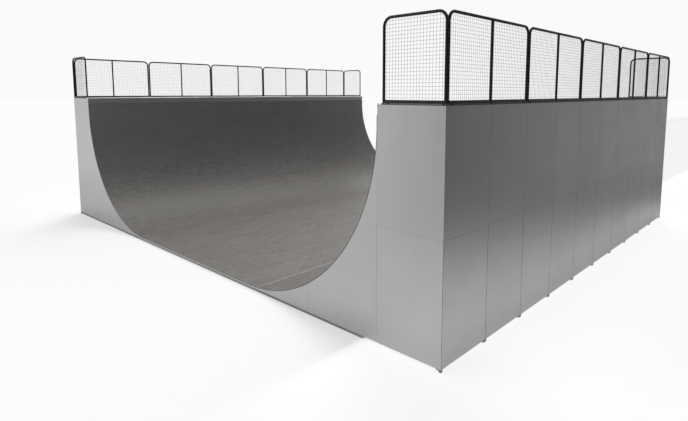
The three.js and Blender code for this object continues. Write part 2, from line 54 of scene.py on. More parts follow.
# ---------------------------------------------------------------- sizes, as in the frame
PITCH = 1.2
BAYS = 10
HALF_W = 6.0
HALF_L = 6.834
ARC_R = 3.263
ARC_CX = 2.388
FLAT_Z = 0.080
ARC_CZ = FLAT_Z + ARC_R
LIP_X = ARC_CX + ARC_R
JOINT_A = 4.15
SKIN = 0.009
SHEET = 0.003
BATTEN = 0.020
SEAM = 0.006
SEAM_Y = 0.011
CORNER_GROOVE = 0.009
LOW_SEAM = 0.0095  # upright joints of the lower row on the backs
HIGH_SEAM = 0.0045  # and of the upper row
LEVEL_SEAM = 0.0030
END_SEAM = 0.0014  # joints of the end cladding
LOW_END_SEAM = 0.0034  # and its upright joints low down
CLAD_BOTTOM = 0.040
SEAM_Z = 1.850
KNEE_X = 4.100
SLIVER_Z = 3.050
CLAD_TOP = 3.650
DECK_T = 0.027
DECK_TOP = CLAD_TOP + DECK_T
DECK_SETBACK = 0.008
DECK_X = 5.741
COPING_D = 0.0483
COPING_TOP = 3.680
COPING_FACE_X = 5.638
STRIP_BOTTOM = 3.500
SHEET_TOP = 3.498
TUBE_R = 0.0212
GUARD_PLANE = 0.023
GUARD_TOP = 4.888
GUARD_CORNER = 0.1288
GUARD_PAIR = 0.050
GUARD_BASE = 3.6773
LIP_POST_X = 5.766
END_RIB_Y = 5.950
OUTER_RAIL_X = 6.778
INNER_RAIL_X = 3.550


# ---------------------------------------------------------------- camera
def camera():
    yaw, pitch, roll = map(math.radians, (-43.054, 6.380, 0.035))
    right = Vector((math.cos(yaw), -math.sin(yaw), 0))
    fwd = Vector(
        (
            math.sin(yaw) * math.cos(pitch),
            math.cos(yaw) * math.cos(pitch),
            -math.sin(pitch),
        )
    )
    up = right.cross(fwd)
    r2 = math.cos(roll) * right + math.sin(roll) * up
    u2 = -math.sin(roll) * right + math.cos(roll) * up
    m = Matrix(
        (
            (r2.x, u2.x, -fwd.x, 10.476),
            (r2.y, u2.y, -fwd.y, -11.566),
            (r2.z, u2.z, -fwd.z, 3.815),
            (0, 0, 0, 1),
        )
    )
    data = bpy.data.cameras.new("camera")
    data.sensor_fit = "HORIZONTAL"
    data.sensor_width = 36.0
    data.lens = 506.79 * 36 / 688
    data.shift_x = (344 - 357.72) / 688
    data.shift_y = (149.71 - 210.5) / 688
    data.clip_start = 0.1
    data.clip_end = 1000
    ob = bpy.data.objects.new("camera", data)
    bpy.context.scene.collection.objects.link(ob)
    ob.matrix_world = m
    bpy.context.scene.camera = ob


camera()


# ---------------------------------------------------------------- material helpers
class Nodes:
    """Short names for building a node tree."""

    def __init__(self, name):
        self.mat = bpy.data.materials.new(name)
        self.mat.use_nodes = True
        self.tree = self.mat.node_tree
        self.tree.nodes.clear()
        self.out = self.tree.nodes.new("ShaderNodeOutputMaterial")
        self.bsdf = self.tree.nodes.new("ShaderNodeBsdfPrincipled")
        self.link(self.bsdf.outputs[0], self.out.inputs[0])
        self.coord = self.tree.nodes.new("ShaderNodeTexCoord").outputs["Object"]

    def link(self, a, b):
        self.tree.links.new(a, b)

    def put(self, socket, value):
        if hasattr(value, "links") or hasattr(value, "is_linked"):
            self.link(value, socket)
        else:
            socket.default_value = value

    def scaled(self, sx, sy, sz, vector=None):
        n = self.tree.nodes.new("ShaderNodeMapping")
        n.inputs["Scale"].default_value = (sx, sy, sz)
        self.link(vector or self.coord, n.inputs["Vector"])
        return n.outputs[0]

    def noise(self, vector, scale, detail=3.0, rough=0.55, distortion=0.0, color=False):
        n = self.tree.nodes.new("ShaderNodeTexNoise")
        self.link(vector, n.inputs["Vector"])
        n.inputs["Scale"].default_value = scale
        n.inputs["Detail"].default_value = detail
        n.inputs["Roughness"].default_value = rough
        n.inputs["Distortion"].default_value = distortion
        return n.outputs["Color" if color else "Fac"]

    def span(self, value, a, b, lo, hi, smooth=False):
        n = self.tree.nodes.new("ShaderNodeMapRange")
        if smooth:
            n.interpolation_type = "SMOOTHSTEP"
        self.put(n.inputs["Value"], value)
        n.inputs["From Min"].default_value = a
        n.inputs["From Max"].default_value = b
        n.inputs["To Min"].default_value = lo
        n.inputs["To Max"].default_value = hi
        return n.outputs[0]

    def math(self, op, a, b=None, clamp=False):
        n = self.tree.nodes.new("ShaderNodeMath")
        n.operation = op
        n.use_clamp = clamp
        self.put(n.inputs[0], a)
        if b is not None:
            self.put(n.inputs[1], b)
        return n.outputs[0]

    def attribute(self, name):
        n = self.tree.nodes.new("ShaderNodeAttribute")
        n.attribute_name = name
        return n.outputs["Fac"]

    def part(self, axis):
        n = self.tree.nodes.new("ShaderNodeSeparateXYZ")
        self.link(self.coord, n.inputs[0])
        return n.outputs[axis]

    def mix(self, fac, a, b):
        n = self.tree.nodes.new("ShaderNodeMix")
        n.data_type = "RGBA"
        self.put(n.inputs[0], fac)
        self.put(n.inputs[6], a)
        self.put(n.inputs[7], b)
        return n.outputs[2]

    def bump(self, height, distance, strength=1.0, normal=None):
        n = self.tree.nodes.new("ShaderNodeBump")
        n.inputs["Strength"].default_value = strength
        n.inputs["Distance"].default_value = distance
        self.link(height, n.inputs["Height"])
        if normal is not None:
            self.link(normal, n.inputs["Normal"])
        return n.outputs[0]

    def shade(self, gain, color):
        """color, an RGB, times a grey gain socket."""
        n = self.tree.nodes.new("ShaderNodeVectorMath")
        n.operation = "SCALE"
        self.put(n.inputs[0], color)
        self.put(n.inputs["Scale"], gain)
        return n.outputs[0]

    def set(self, **values):
        for key, value in values.items():
            self.put(self.bsdf.inputs[key.replace("_", " ")], value)
        return self.mat


def cladding_material():
    n = Nodes("coated_sheet_steel")
    tone = n.attribute("tone")
    broad = n.noise(n.scaled(1, 1, 1), 0.55, 3, 0.5)
    wash = n.noise(n.scaled(6, 6, 0.35), 1.3, 4, 0.6)
    fine = n.noise(n.scaled(1, 1, 1), 340, 2, 0.6)
    # darker and rougher towards the bottom of the sheets, in patches
    low = n.span(n.part("Z"), 0.05, 0.55, 1.0, 0.0, True)
    darker_low_down = n.math("MULTIPLY", low, n.noise(n.scaled(2, 2, 5), 2.2, 5, 0.65))
    gain = n.math("ADD", n.span(tone, 0, 1, 0.972, 1.022), n.span(broad, 0.3, 0.7, -0.022, 0.022))
    gain = n.math("ADD", gain, n.span(wash, 0.3, 0.7, -0.012, 0.012))
    gain = n.math("SUBTRACT", gain, n.math("MULTIPLY", darker_low_down, 0.07))
    base = n.shade(gain, (0.450, 0.452, 0.456))
    smudge = n.noise(n.scaled(1, 1, 1.6), 2.4, 5, 0.6, 0.4)
    rough = n.math(
        "ADD",
        n.span(smudge, 0.25, 0.75, 0.37, 0.43),
        n.math("MULTIPLY", darker_low_down, 0.15),
    )
    rough = n.math("ADD", rough, n.span(fine, 0.3, 0.7, -0.02, 0.02))
    oil = n.noise(n.scaled(1, 1, 0.8), 1.1, 1, 0.4)
    b = n.bump(oil, 0.010, 0.35)
    b = n.bump(fine, 0.00012, 0.5, b)
    return n.set(Base_Color=base, Roughness=rough, Metallic=0.9, Specular_Tint=(0.75, 0.75, 0.75, 1), Normal=b)


# painted shade: near-black battens make the joints in front of them read as shadowed gaps
def batten_material():
    n = Nodes("batten_black_for_joint_shade")
    v = n.noise(n.scaled(1, 1, 0.3), 30, 4, 0.6)
    base = n.shade(n.span(v, 0.3, 0.7, 0.8, 1.2), (0.05, 0.05, 0.051))
    return n.set(
        Base_Color=base,
        Roughness=n.span(v, 0.3, 0.7, 0.55, 0.75),
        Normal=n.bump(v, 0.0004, 0.5),
    )


def shoe_material():
    n = Nodes("foot_steel")
    v = n.noise(n.scaled(1, 1, 1), 60, 4, 0.6)
    base = n.shade(n.span(v, 0.3, 0.7, 0.82, 1.15), (0.19, 0.19, 0.191))
    return n.set(
        Base_Color=base,
        Roughness=n.span(v, 0.3, 0.7, 0.5, 0.7),
        Metallic=0.5,
        Normal=n.bump(v, 0.0004, 0.5),
    )


# painted light: a paler copy of the batten, so the end joints show less shade than those on the backs
def pale_batten_material():
    n = Nodes("pale_batten")
    v = n.noise(n.scaled(1, 1, 0.3), 30, 4, 0.6)
    base = n.shade(n.span(v, 0.3, 0.7, 0.85, 1.15), (0.30, 0.30, 0.302))
    return n.set(
        Base_Color=base,
        Roughness=n.span(v, 0.3, 0.7, 0.45, 0.6),
        Metallic=0.6,
        Normal=n.bump(v, 0.0003, 0.5),
    )


def riding_material():
    n = Nodes("riding_composite")
    tone = n.attribute("tone")
    streak = n.noise(n.scaled(17, 4.2, 17), 1.0, 4, 0.6, 0.7)
    grain = n.noise(n.scaled(42, 11, 42), 1.0, 3, 0.6, 0.4)
    mottle = n.noise(n.scaled(2.6, 0.8, 2.6), 1.0, 4, 0.55, 0.5)
    fibre = n.noise(n.scaled(150, 12, 150), 1.0, 3, 0.6)
    speck = n.noise(n.scaled(1, 1, 1), 420, 2, 0.7)
    ripple = n.math("ADD", n.span(streak, 0.3, 0.7, -0.13, 0.13), n.span(grain, 0.3, 0.7, -0.085, 0.085))
    ripple = n.math("ADD", ripple, n.span(fibre, 0.3, 0.7, -0.03, 0.03))
    # trodden in most where the wheels run flat, least below the coping
    worn = n.span(n.part("Z"), 1.0, 2.1, 2.0, 0.52, True)
    gain = n.math("ADD", n.math("MULTIPLY", ripple, worn), n.span(mottle, 0.3, 0.7, 0.945, 1.055))
    gain = n.math("ADD", gain, n.span(speck, 0.35, 0.65, -0.015, 0.015))
    gain = n.math("ADD", gain, n.span(tone, 0, 1, -0.008, 0.008))
    low = n.span(n.part("Z"), 0.1, 1.9, 1.0, 0.0, True)
    warm = n.mix(
        n.math("MULTIPLY", low, n.span(mottle, 0.35, 0.65, 0.6, 1.0, True)),
        (0.226, 0.222, 0.218, 1),
        (0.247, 0.228, 0.207, 1),
    )
    base = n.shade(gain, warm)
    rough = n.math("ADD", n.span(streak, 0.3, 0.7, 0.44, 0.56), n.span(fibre, 0.3, 0.7, -0.04, 0.04))
    b = n.bump(streak, 0.0020, 0.6)
    b = n.bump(grain, 0.0007, 0.5, b)
    b = n.bump(fibre, 0.0003, 0.5, b)
    return n.set(Base_Color=base, Roughness=rough, Normal=b)


def edge_material():
    n = Nodes("riding_sheet_edge")
    v = n.noise(n.scaled(9, 9, 900), 1.0, 3, 0.6)
    base = n.shade(n.span(v, 0.3, 0.7, 0.75, 1.25), (0.030, 0.028, 0.026))
    return n.set(Base_Color=base, Roughness=n.span(v, 0.3, 0.7, 0.5, 0.7), Normal=n.bump(v, 0.0002, 0.5))


def joint_strip_material():
    n = Nodes("joint_strip_steel")
    v = n.noise(n.scaled(180, 3, 180), 1.0, 3, 0.6)
    wear = n.noise(n.scaled(1, 0.8, 1), 2.0, 4, 0.6)
    base = n.shade(n.span(wear, 0.3, 0.7, 0.88, 1.06), (0.62, 0.61, 0.59))
    return n.set(
        Base_Color=base,
        Metallic=0.6,
        Roughness=n.span(v, 0.3, 0.7, 0.42, 0.6),
        Normal=n.bump(v, 0.0002, 0.4),
    )


def coping_material():
    n = Nodes("coping_steel_worn_and_painted_light")
    brush = n.noise(n.scaled(240, 4, 240), 1.0, 3, 0.6)
    zinc = n.noise(n.scaled(1, 1, 1), 26, 2, 0.5)
    wear = n.noise(n.scaled(3, 1.4, 3), 1.0, 5, 0.65)
    # worn bright on top; the brighter top half also serves as a painted highlight from light above
    top = n.span(n.part("Z"), 3.650, 3.674, 0.0, 1.0, True)
    worn = n.math("MULTIPLY", top, n.span(wear, 0.30, 0.55, 0.45, 1.0, True))
    # painted shade: the strip under the tube and the tube's underside are darker, as if in the tube's shadow
    grey_with_painted_shade = n.math("MULTIPLY", n.span(zinc, 0.3, 0.7, 0.88, 1.1), n.span(n.part("Z"), 3.630, 3.648, 0.60, 1.06))
    dull = n.shade(grey_with_painted_shade, (0.74, 0.745, 0.75))
    base = n.mix(worn, dull, (0.93, 0.925, 0.915, 1))
    rough = n.math(
        "ADD",
        n.math("SUBTRACT", 0.50, n.math("MULTIPLY", worn, 0.2)),
        n.span(brush, 0.3, 0.7, -0.05, 0.05),
    )
    b = n.bump(brush, 0.00015, 0.5)
    return n.set(Base_Color=base, Metallic=0.85, Roughness=rough, Normal=b)


def galvanised_material():
    n = Nodes("hot_dip_galvanised")
    v = n.tree.nodes.new("ShaderNodeTexVoronoi")
    v.inputs["Scale"].default_value = 70
    n.link(n.coord, v.inputs["Vector"])
    flake = v.outputs["Color"]
    broad = n.noise(n.scaled(1, 1, 1), 3.0, 4, 0.6)
    gain = n.math("ADD", n.span(flake, 0.0, 1.0, 0.90, 1.10), n.span(broad, 0.3, 0.7, -0.08, 0.08))
    base = n.shade(gain, (0.43, 0.445, 0.455))
    return n.set(
        Base_Color=base,
        Metallic=0.85,
        Roughness=n.span(broad, 0.3, 0.7, 0.42, 0.56),
        Normal=n.bump(broad, 0.0006, 0.3),
    )


def guard_material():
    n = Nodes("black_powder_coat")
    peel = n.noise(n.scaled(1, 1, 1), 620, 2, 0.5)
    broad = n.noise(n.scaled(1, 1, 1), 4.0, 4, 0.6)
    base = n.shade(n.span(broad, 0.3, 0.7, 0.85, 1.15), (0.0085, 0.0085, 0.009))
    return n.set(
        Base_Color=base,
        Roughness=n.span(broad, 0.3, 0.7, 0.42, 0.54),
        Specular_IOR_Level=0.32,
        Normal=n.bump(peel, 0.00015, 0.5),
    )


def deck_material():
    n = Nodes("film_faced_deck_board")
    tone = n.attribute("tone")
    # small raised lozenges pressed into the film
    cells = n.tree.nodes.new("ShaderNodeTexVoronoi")
    cells.feature = "SMOOTH_F1"
    cells.distance = "MANHATTAN"
    cells.inputs["Scale"].default_value = 150
    cells.inputs["Randomness"].default_value = 0.0
    n.link(n.scaled(1, 1, 0.001), cells.inputs["Vector"])
    pad = cells.outputs["Distance"]
    broad = n.noise(n.scaled(1, 1, 1), 1.6, 5, 0.6)
    scuff = n.noise(n.scaled(5, 18, 5), 1.0, 5, 0.7, 1.0)
    gain = n.math("ADD", n.span(broad, 0.3, 0.7, 0.86, 1.14), n.span(tone, 0, 1, -0.05, 0.05))
    gain = n.math("ADD", gain, n.span(scuff, 0.5, 0.75, 0.0, 0.22))
    base = n.shade(gain, (0.118, 0.112, 0.105))
    return n.set(
        Base_Color=base,
        Roughness=n.span(broad, 0.3, 0.7, 0.5, 0.68),
        Normal=n.bump(pad, 0.0008, 0.5),
    )


def plywood_material():
    n = Nodes("exterior_plywood")
    grain = n.noise(n.scaled(40, 2.2, 40), 1.0, 5, 0.6, 1.2)
    base = n.mix(n.span(grain, 0.3, 0.7, 0, 1), (0.40, 0.27, 0.15, 1), (0.50, 0.36, 0.22, 1))
    return n.set(Base_Color=base, Roughness=0.8, Normal=n.bump(grain, 0.0005, 0.5))


def screw_material():
    n = Nodes("zinc_screw")
    v = n.noise(n.scaled(1, 1, 1), 500, 2, 0.6)
    base = n.shade(n.span(v, 0.3, 0.7, 0.85, 1.1), (0.34, 0.335, 0.325))
    return n.set(Base_Color=base, Metallic=0.9, Roughness=n.span(v, 0.3, 0.7, 0.35, 0.55))


M = {
    "cladding": cladding_material(),
    "batten": batten_material(),
    "pale batten": pale_batten_material(),
    "shoe": shoe_material(),
    "riding": riding_material(),
    "edge": edge_material(),
    "strip": joint_strip_material(),
    "coping": coping_material(),
    "galvanised": galvanised_material(),
    "guard": guard_material(),
    "deck": deck_material(),
    "plywood": plywood_material(),
    "screw": screw_material(),
}


# ---------------------------------------------------------------- mesh helpers
class Piece:
    """Gathers closed bodies into one mesh."""

    def __init__(self):
        self.v, self.f, self.m, self.t = [], [], [], []

    def add(self, verts, faces, mat=0, tone=0.5):
        o = len(self.v)
        self.v.extend(tuple(p) for p in verts)
        self.t.extend([tone] * len(verts))
        self.f.extend([i + o for i in face] for face in faces)
        self.m.extend([mat] * len(faces))

    def make(self, name, materials, slot, nodes=(), sharp=32.0):
        me = bpy.data.meshes.new(name)
        me.from_pydata(self.v, [], self.f)
        me.polygons.foreach_set("material_index", self.m)
        bm = bmesh.new()
        bm.from_mesh(me)
        bmesh.ops.recalc_face_normals(bm, faces=bm.faces)
        bm.to_mesh(me)
        bm.free()
        me.shade_smooth()
        me.set_sharp_from_angle(angle=math.radians(sharp))
        a = me.attributes.new("tone", "FLOAT", "POINT")
        a.data.foreach_set("value", self.t)
        for m in materials:
            me.materials.append(M[m])
        me.update()
        ob = bpy.data.objects.new(name, me)
        bpy.context.scene.collection.objects.link(ob)
        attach(ob, "root")
        if nodes:
            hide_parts(*nodes)
        return ob


def inset(poly, c):
    """The closed 2-D outline moved inwards by c, corners mitred."""
    n = len(poly)
    area = sum(
        poly[i][0] * poly[(i + 1) % n][1] - poly[(i + 1) % n][0] * poly[i][1]
        for i in range(n)
    )
    s = 1 if area > 0 else -1
    out = []
    for i in range(n):
        p, q, r = Vector(poly[i - 1]), Vector(poly[i]), Vector(poly[(i + 1) % n])
        d0, d1 = (q - p).normalized(), (r - q).normalized()
        n0 = Vector((-d0.y, d0.x)) * s
        n1 = Vector((-d1.y, d1.x)) * s
        k = max(0.3, 1 + n0.dot(n1))
        out.append(q + (n0 + n1) * (c / k))
    return out


def prism(piece, outline, lay, lo, hi, chamfer=0.0, mat=0, side_mat=None, tone=0.5):
    """An outline carried from lo to hi by lay(a, b, t), with chamfered rims."""
    n = len(outline)
    side_mat = mat if side_mat is None else side_mat
    if chamfer > 0:
        small = inset(outline, chamfer)
        rings = [(small, lo), (outline, lo + chamfer), (outline, hi - chamfer), (small, hi)]
    else:
        rings = [(outline, lo), (outline, hi)]
    verts = [lay(a, b, t) for ring, t in rings for a, b in ring]
    k = len(rings)
    sides = [
        (j * n + i, j * n + (i + 1) % n, (j + 1) * n + (i + 1) % n, (j + 1) * n + i)
        for j in range(k - 1)
        for i in range(n)
    ]
    caps = [tuple(range(n)), tuple(range((k - 1) * n, k * n))]
    o = len(piece.f)
    piece.add(verts, sides + caps, mat, tone)
    for j in range(o, o + len(sides)):
        piece.m[j] = side_mat


def along_y(a, b, t):
    return (a, t, b)


def along_x(a, b, t):
    return (t, a, b)


def along_z(a, b, t):
    return (a, b, t)


def rect(a0, b0, a1, b1):
    return [(a0, b0), (a1, b0), (a1, b1), (a0, b1)]


def round_rect(a0, b0, a1, b1, r, n=4):
    pts = []
    for cx, cy, start in (
        (a1 - r, b0 + r, -90),
        (a1 - r, b1 - r, 0),
        (a0 + r, b1 - r, 90),
        (a0 + r, b0 + r, 180),
    ):
        for i in range(n + 1):
            t = math.radians(start + 90 * i / n)
            pts.append((cx + r * math.cos(t), cy + r * math.sin(t)))
    return pts


def box(piece, x0, x1, y0, y1, z0, z1, chamfer=0.0, mat=0, tone=0.5):
    """A box with all twelve edges chamfered."""
    x0, x1 = sorted((x0, x1))
    y0, y1 = sorted((y0, y1))
    z0, z1 = sorted((z0, z1))
    c = chamfer
    if c <= 0:
        prism(piece, rect(x0, y0, x1, y1), along_z, z0, z1, 0, mat, tone=tone)
        return
    corners = [(i, j, k) for i in (0, 1) for j in (0, 1) for k in (0, 1)]
    lo, hi = (x0, y0, z0), (x1, y1, z1)
    verts, at = [], {}
    for corner in corners:
        for axis in range(3):
            p = []
            for d in range(3):
                edge = (lo[d], hi[d])[corner[d]]
                into = (1, -1)[corner[d]] * c
                p.append(edge if d == axis else edge + into)
            at[corner, axis] = len(verts)
            verts.append(tuple(p))
    faces = []
    for axis in range(3):
        u, w = [d for d in range(3) if d != axis]
        for side in (0, 1):
            loop = []
            for a, b in ((0, 0), (1, 0), (1, 1), (0, 1)):
                corner = [0, 0, 0]
                corner[axis], corner[u], corner[w] = side, a, b
                loop.append(at[tuple(corner), axis])
            faces.append(tuple(loop))
        for a in (0, 1):
            for b in (0, 1):
                c0, c1 = [0, 0, 0], [0, 0, 0]
                c0[axis], c0[u], c0[w] = 0, a, b
                c1[axis], c1[u], c1[w] = 1, a, b
                faces.append(
                    (
                        at[tuple(c0), u],
                        at[tuple(c0), w],
                        at[tuple(c1), w],
                        at[tuple(c1), u],
                    )
                )
    for corner in corners:
        faces.append(tuple(at[corner, d] for d in range(3)))
    piece.add(verts, faces, mat, tone)


def rod(piece, a, b, r, n=8, mat=0):
    """A straight round bar from a to b."""
    a, b = Vector(a), Vector(b)
    d = (b - a).normalized()
    e = Vector((0, 0, 1)) if abs(d.z) < 0.9 else Vector((1, 0, 0))
    u = d.cross(e).normalized()
    w = d.cross(u)
    verts = []
    for p in (a, b):
        for i in range(n):
            t = 2 * math.pi * (i + 0.5) / n
            verts.append(p + u * (r * math.cos(t)) + w * (r * math.sin(t)))
    faces = [(i, (i + 1) % n, n + (i + 1) % n, n + i) for i in range(n)]
    faces += [tuple(range(n)), tuple(range(n, 2 * n))]
    piece.add(verts, faces, mat)


def planar_tube(piece, path, r, plane, n=20, mat=0):
    """A round tube along a path (u, z) that lies in a plane; plane(u, w, z) gives the point."""
    k = len(path)
    verts = []
    for i, (u, z) in enumerate(path):
        p, q = path[max(0, i - 1)], path[min(k - 1, i + 1)]
        t = Vector((q[0] - p[0], q[1] - p[1])).normalized()
        nu, nz = -t.y, t.x
        for j in range(n):
            a = 2 * math.pi * j / n
            verts.append(
                plane(u + nu * r * math.cos(a), r * math.sin(a), z + nz * r * math.cos(a))
            )
    faces = [
        (i * n + j, i * n + (j + 1) % n, (i + 1) * n + (j + 1) % n, (i + 1) * n + j)
        for i in range(k - 1)
        for j in range(n)
    ]
    faces += [tuple(range(n)), tuple(range((k - 1) * n, k * n))]
    piece.add(verts, faces, mat)


def turned(piece, profile, centre, axis, n=24, mat=0, spin=0.0):
    """A turned body: profile is (radius, height) pairs from the axis back to the axis."""
    axis = Vector(axis).normalized()
    e = Vector((0, 0, 1)) if abs(axis.z) < 0.9 else Vector((1, 0, 0))
    u = axis.cross(e).normalized()
    w = axis.cross(u)
    c = Vector(centre)
    verts, faces, rings = [], [], []
    for r, h in profile:
        if r <= 1e-9:
            rings.append([len(verts)])
            verts.append(c + axis * h)
        else:
            rings.append(list(range(len(verts), len(verts) + n)))
            for i in range(n):
                t = 2 * math.pi * i / n + spin
                verts.append(c + axis * h + u * (r * math.cos(t)) + w * (r * math.sin(t)))
    for a, b in zip(rings, rings[1:]):
        for i in range(n):
            j = (i + 1) % n
            if len(a) == 1:
                faces.append((a[0], b[i], b[j]))
            elif len(b) == 1:
                faces.append((a[i], b[0], a[j]))
            else:
                faces.append((a[i], b[i], b[j], a[j]))
    piece.add(verts, faces, mat)


def collar(piece, centre, axis, major, minor, n=20, m=6, mat=0):
    """A weld bead round a tube."""
    axis = Vector(axis).normalized()
    e = Vector((0, 0, 1)) if abs(axis.z) < 0.9 else Vector((1, 0, 0))
    u = axis.cross(e).normalized()
    w = axis.cross(u)
    c = Vector(centre)
    verts = []
    for i in range(n):
        t = 2 * math.pi * i / n
        out = u * math.cos(t) + w * math.sin(t)
        wob = minor * (1 + 0.12 * math.sin(7 * t))
        for j in range(m):
            s = 2 * math.pi * j / m
            verts.append(c + out * (major + wob * math.cos(s)) + axis * (wob * math.sin(s)))
    faces = [
        (i * m + j, i * m + (j + 1) % m, ((i + 1) % n) * m + (j + 1) % m, ((i + 1) % n) * m + j)
        for i in range(n)
        for j in range(m)
    ]
    piece.add(verts, faces, mat)


def head(piece, centre, axis, r, h, n=8, mat=0):
    """A low domed screw or rivet head."""
    turned(
        piece,
        [(0, -0.0006), (r, -0.0006), (r, h * 0.25), (r * 0.72, h * 0.8), (0, h)],
        centre,
        axis,
        n,
        mat,
    )


# ---------------------------------------------------------------- the curve
def on_arc(a, offset=0.0):
    t = math.radians(a)
    return (
        ARC_CX + (ARC_R + offset) * math.sin(t),
        ARC_CZ - (ARC_R + offset) * math.cos(t),
    )


def arc(offset, a0, a1, n):
    return [on_arc(a0 + (a1 - a0) * i / n, offset) for i in range(n + 1)]


def angle_at_x(x, offset):
    return math.degrees(math.asin((x - ARC_CX) / (ARC_R + offset)))


def angle_at_z(z, offset):
    return math.degrees(math.acos((ARC_CZ - z) / (ARC_R + offset)))


def flip(s, pts):
    return [(s * a, b) for a, b in pts]


# ---------------------------------------------------------------- riding surface
GAP_Y = 0.0009
STRIP_HALF = 0.0085  # half of the joint strip let in where the flat meets the transition


def arc_angle(length):
    """Angle covered by a length along the riding surface."""
    return math.degrees(length / ARC_R)


def riding_sheets():
    a_joint = JOINT_A
    a_start = a_joint + arc_angle(STRIP_HALF + 0.0004)
    rows = 4
    for side, s in (("right", 1), ("left", -1)):
        p = Piece()
        screws = Piece()
        step = (90 + arc_angle(SHEET_TOP - ARC_CZ) - a_start) / rows
        for r in range(rows):
            a0 = a_start + step * r
            a1 = a_start + step * (r + 1) - arc_angle(GAP_Y)
            top = r == rows - 1
            if top:
                upper = arc(0, a0, 90, 16) + [(LIP_X, SHEET_TOP)]
                lower = arc(SKIN, a0, 90, 16) + [(LIP_X + SKIN, SHEET_TOP)]
            else:
                upper, lower = arc(0, a0, a1, 16), arc(SKIN, a0, a1, 16)
            outline = lower + upper[::-1]
            lines = [-HALF_W]
            first = 2 if r % 2 == 0 else 1
            lines += [-HALF_W + PITCH * j for j in range(first, BAYS, 2)]
            lines.append(HALF_W)
            for y0, y1 in zip(lines, lines[1:]):
                prism(
                    p,
                    flip(s, outline),
                    along_y,
                    y0 + (GAP_Y / 2 if y0 > -HALF_W else 0),
                    y1 - (GAP_Y / 2 if y1 < HALF_W else 0),
                    0.0006,
                    0,
                    tone=rng.random(),
                )
        # the ends of the sheets show their dark core
        ends(p)
        p.make(
            f"{side}_riding_sheets",
            ["riding", "edge"],
            "riding_sheet",
            [f"{side}_transition_riding_sheets"],
            22,
        )
        for j in range(BAYS + 1):
            y = max(-HALF_W + 0.03, min(HALF_W - 0.03, -HALF_W + PITCH * j))
            a = a_start + 0.6
            while a < 90:
                x, z = on_arc(a)
                t = math.radians(a)
                head(screws, (s * x, y, z), (-s * math.sin(t), 0, math.cos(t)), 0.0045, 0.0003)
                a += arc_angle(0.3)
        screws.make(f"{side}_riding_screws", ["screw"], "galvanised_steel")

    p, screws = Piece(), Piece()
    a1 = a_joint - arc_angle(STRIP_HALF + 0.0004)
    edge_x = on_arc(a1)[0]
    xs = [-edge_x, -1.22, 0.0, 1.22, edge_x]
    for i in range(4):
        x0 = xs[i] + (GAP_Y / 2 if i else 0)
        x1 = xs[i + 1] - (GAP_Y / 2 if i < 3 else 0)
        up = [(x0, FLAT_Z)] if i else [(-a, b) for a, b in arc(0, 0, a1, 4)][::-1]
        low = [(x0, FLAT_Z - SKIN)] if i else [(-a, b) for a, b in arc(SKIN, 0, a1, 4)][::-1]
        if i == 3:
            up += arc(0, 0, a1, 4)
            low += arc(SKIN, 0, a1, 4)
        else:
            up.append((x1, FLAT_Z))
            low.append((x1, FLAT_Z - SKIN))
        lines = [-HALF_W]
        lines += [-HALF_W + PITCH * j for j in range(2 if i % 2 else 1, BAYS, 2)]
        lines.append(HALF_W)
        for y0, y1 in zip(lines, lines[1:]):
            prism(
                p,
                low + up[::-1],
                along_y,
                y0 + (GAP_Y / 2 if y0 > -HALF_W else 0),
                y1 - (GAP_Y / 2 if y1 < HALF_W else 0),
                0.0006,
                0,
                tone=rng.random(),
            )
    ends(p)
    p.make("flat_sheets", ["riding", "edge"], "riding_sheet", ["flat_riding_sheets"], 22)
    for j in range(BAYS + 1):
        y = max(-HALF_W + 0.03, min(HALF_W - 0.03, -HALF_W + PITCH * j))
        for i in range(-8, 9):
            head(screws, (i * 0.3, y, FLAT_Z), (0, 0, 1), 0.0045, 0.0003)
    screws.make("flat_screws", ["screw"], "galvanised_steel")

    # steel strip let in flush at each joint of flat and transition
    for side, s, mat in (("right", 1, "strip"), ("left", -1, "riding")):
        p = Piece()
        half = arc_angle(STRIP_HALF)
        up = arc(0.0002, a_joint - half, a_joint + half, 2)
        low = arc(0.0030, a_joint - half, a_joint + half, 2)
        prism(p, flip(s, low + up[::-1]), along_y, -HALF_W + 0.001, HALF_W - 0.001, 0.0003)
        p.make(f"{side}_joint_strip", [mat], "coping_steel")


def ends(p):
    """Faces that look along Y at the open ends of the riding sheets take the edge material."""
    for i, face in enumerate(p.f):
        ys = [p.v[k][1] for k in face]
        if min(ys) > HALF_W - 0.0007 or max(ys) < -HALF_W + 0.0007:
            p.m[i] = 1


riding_sheets()


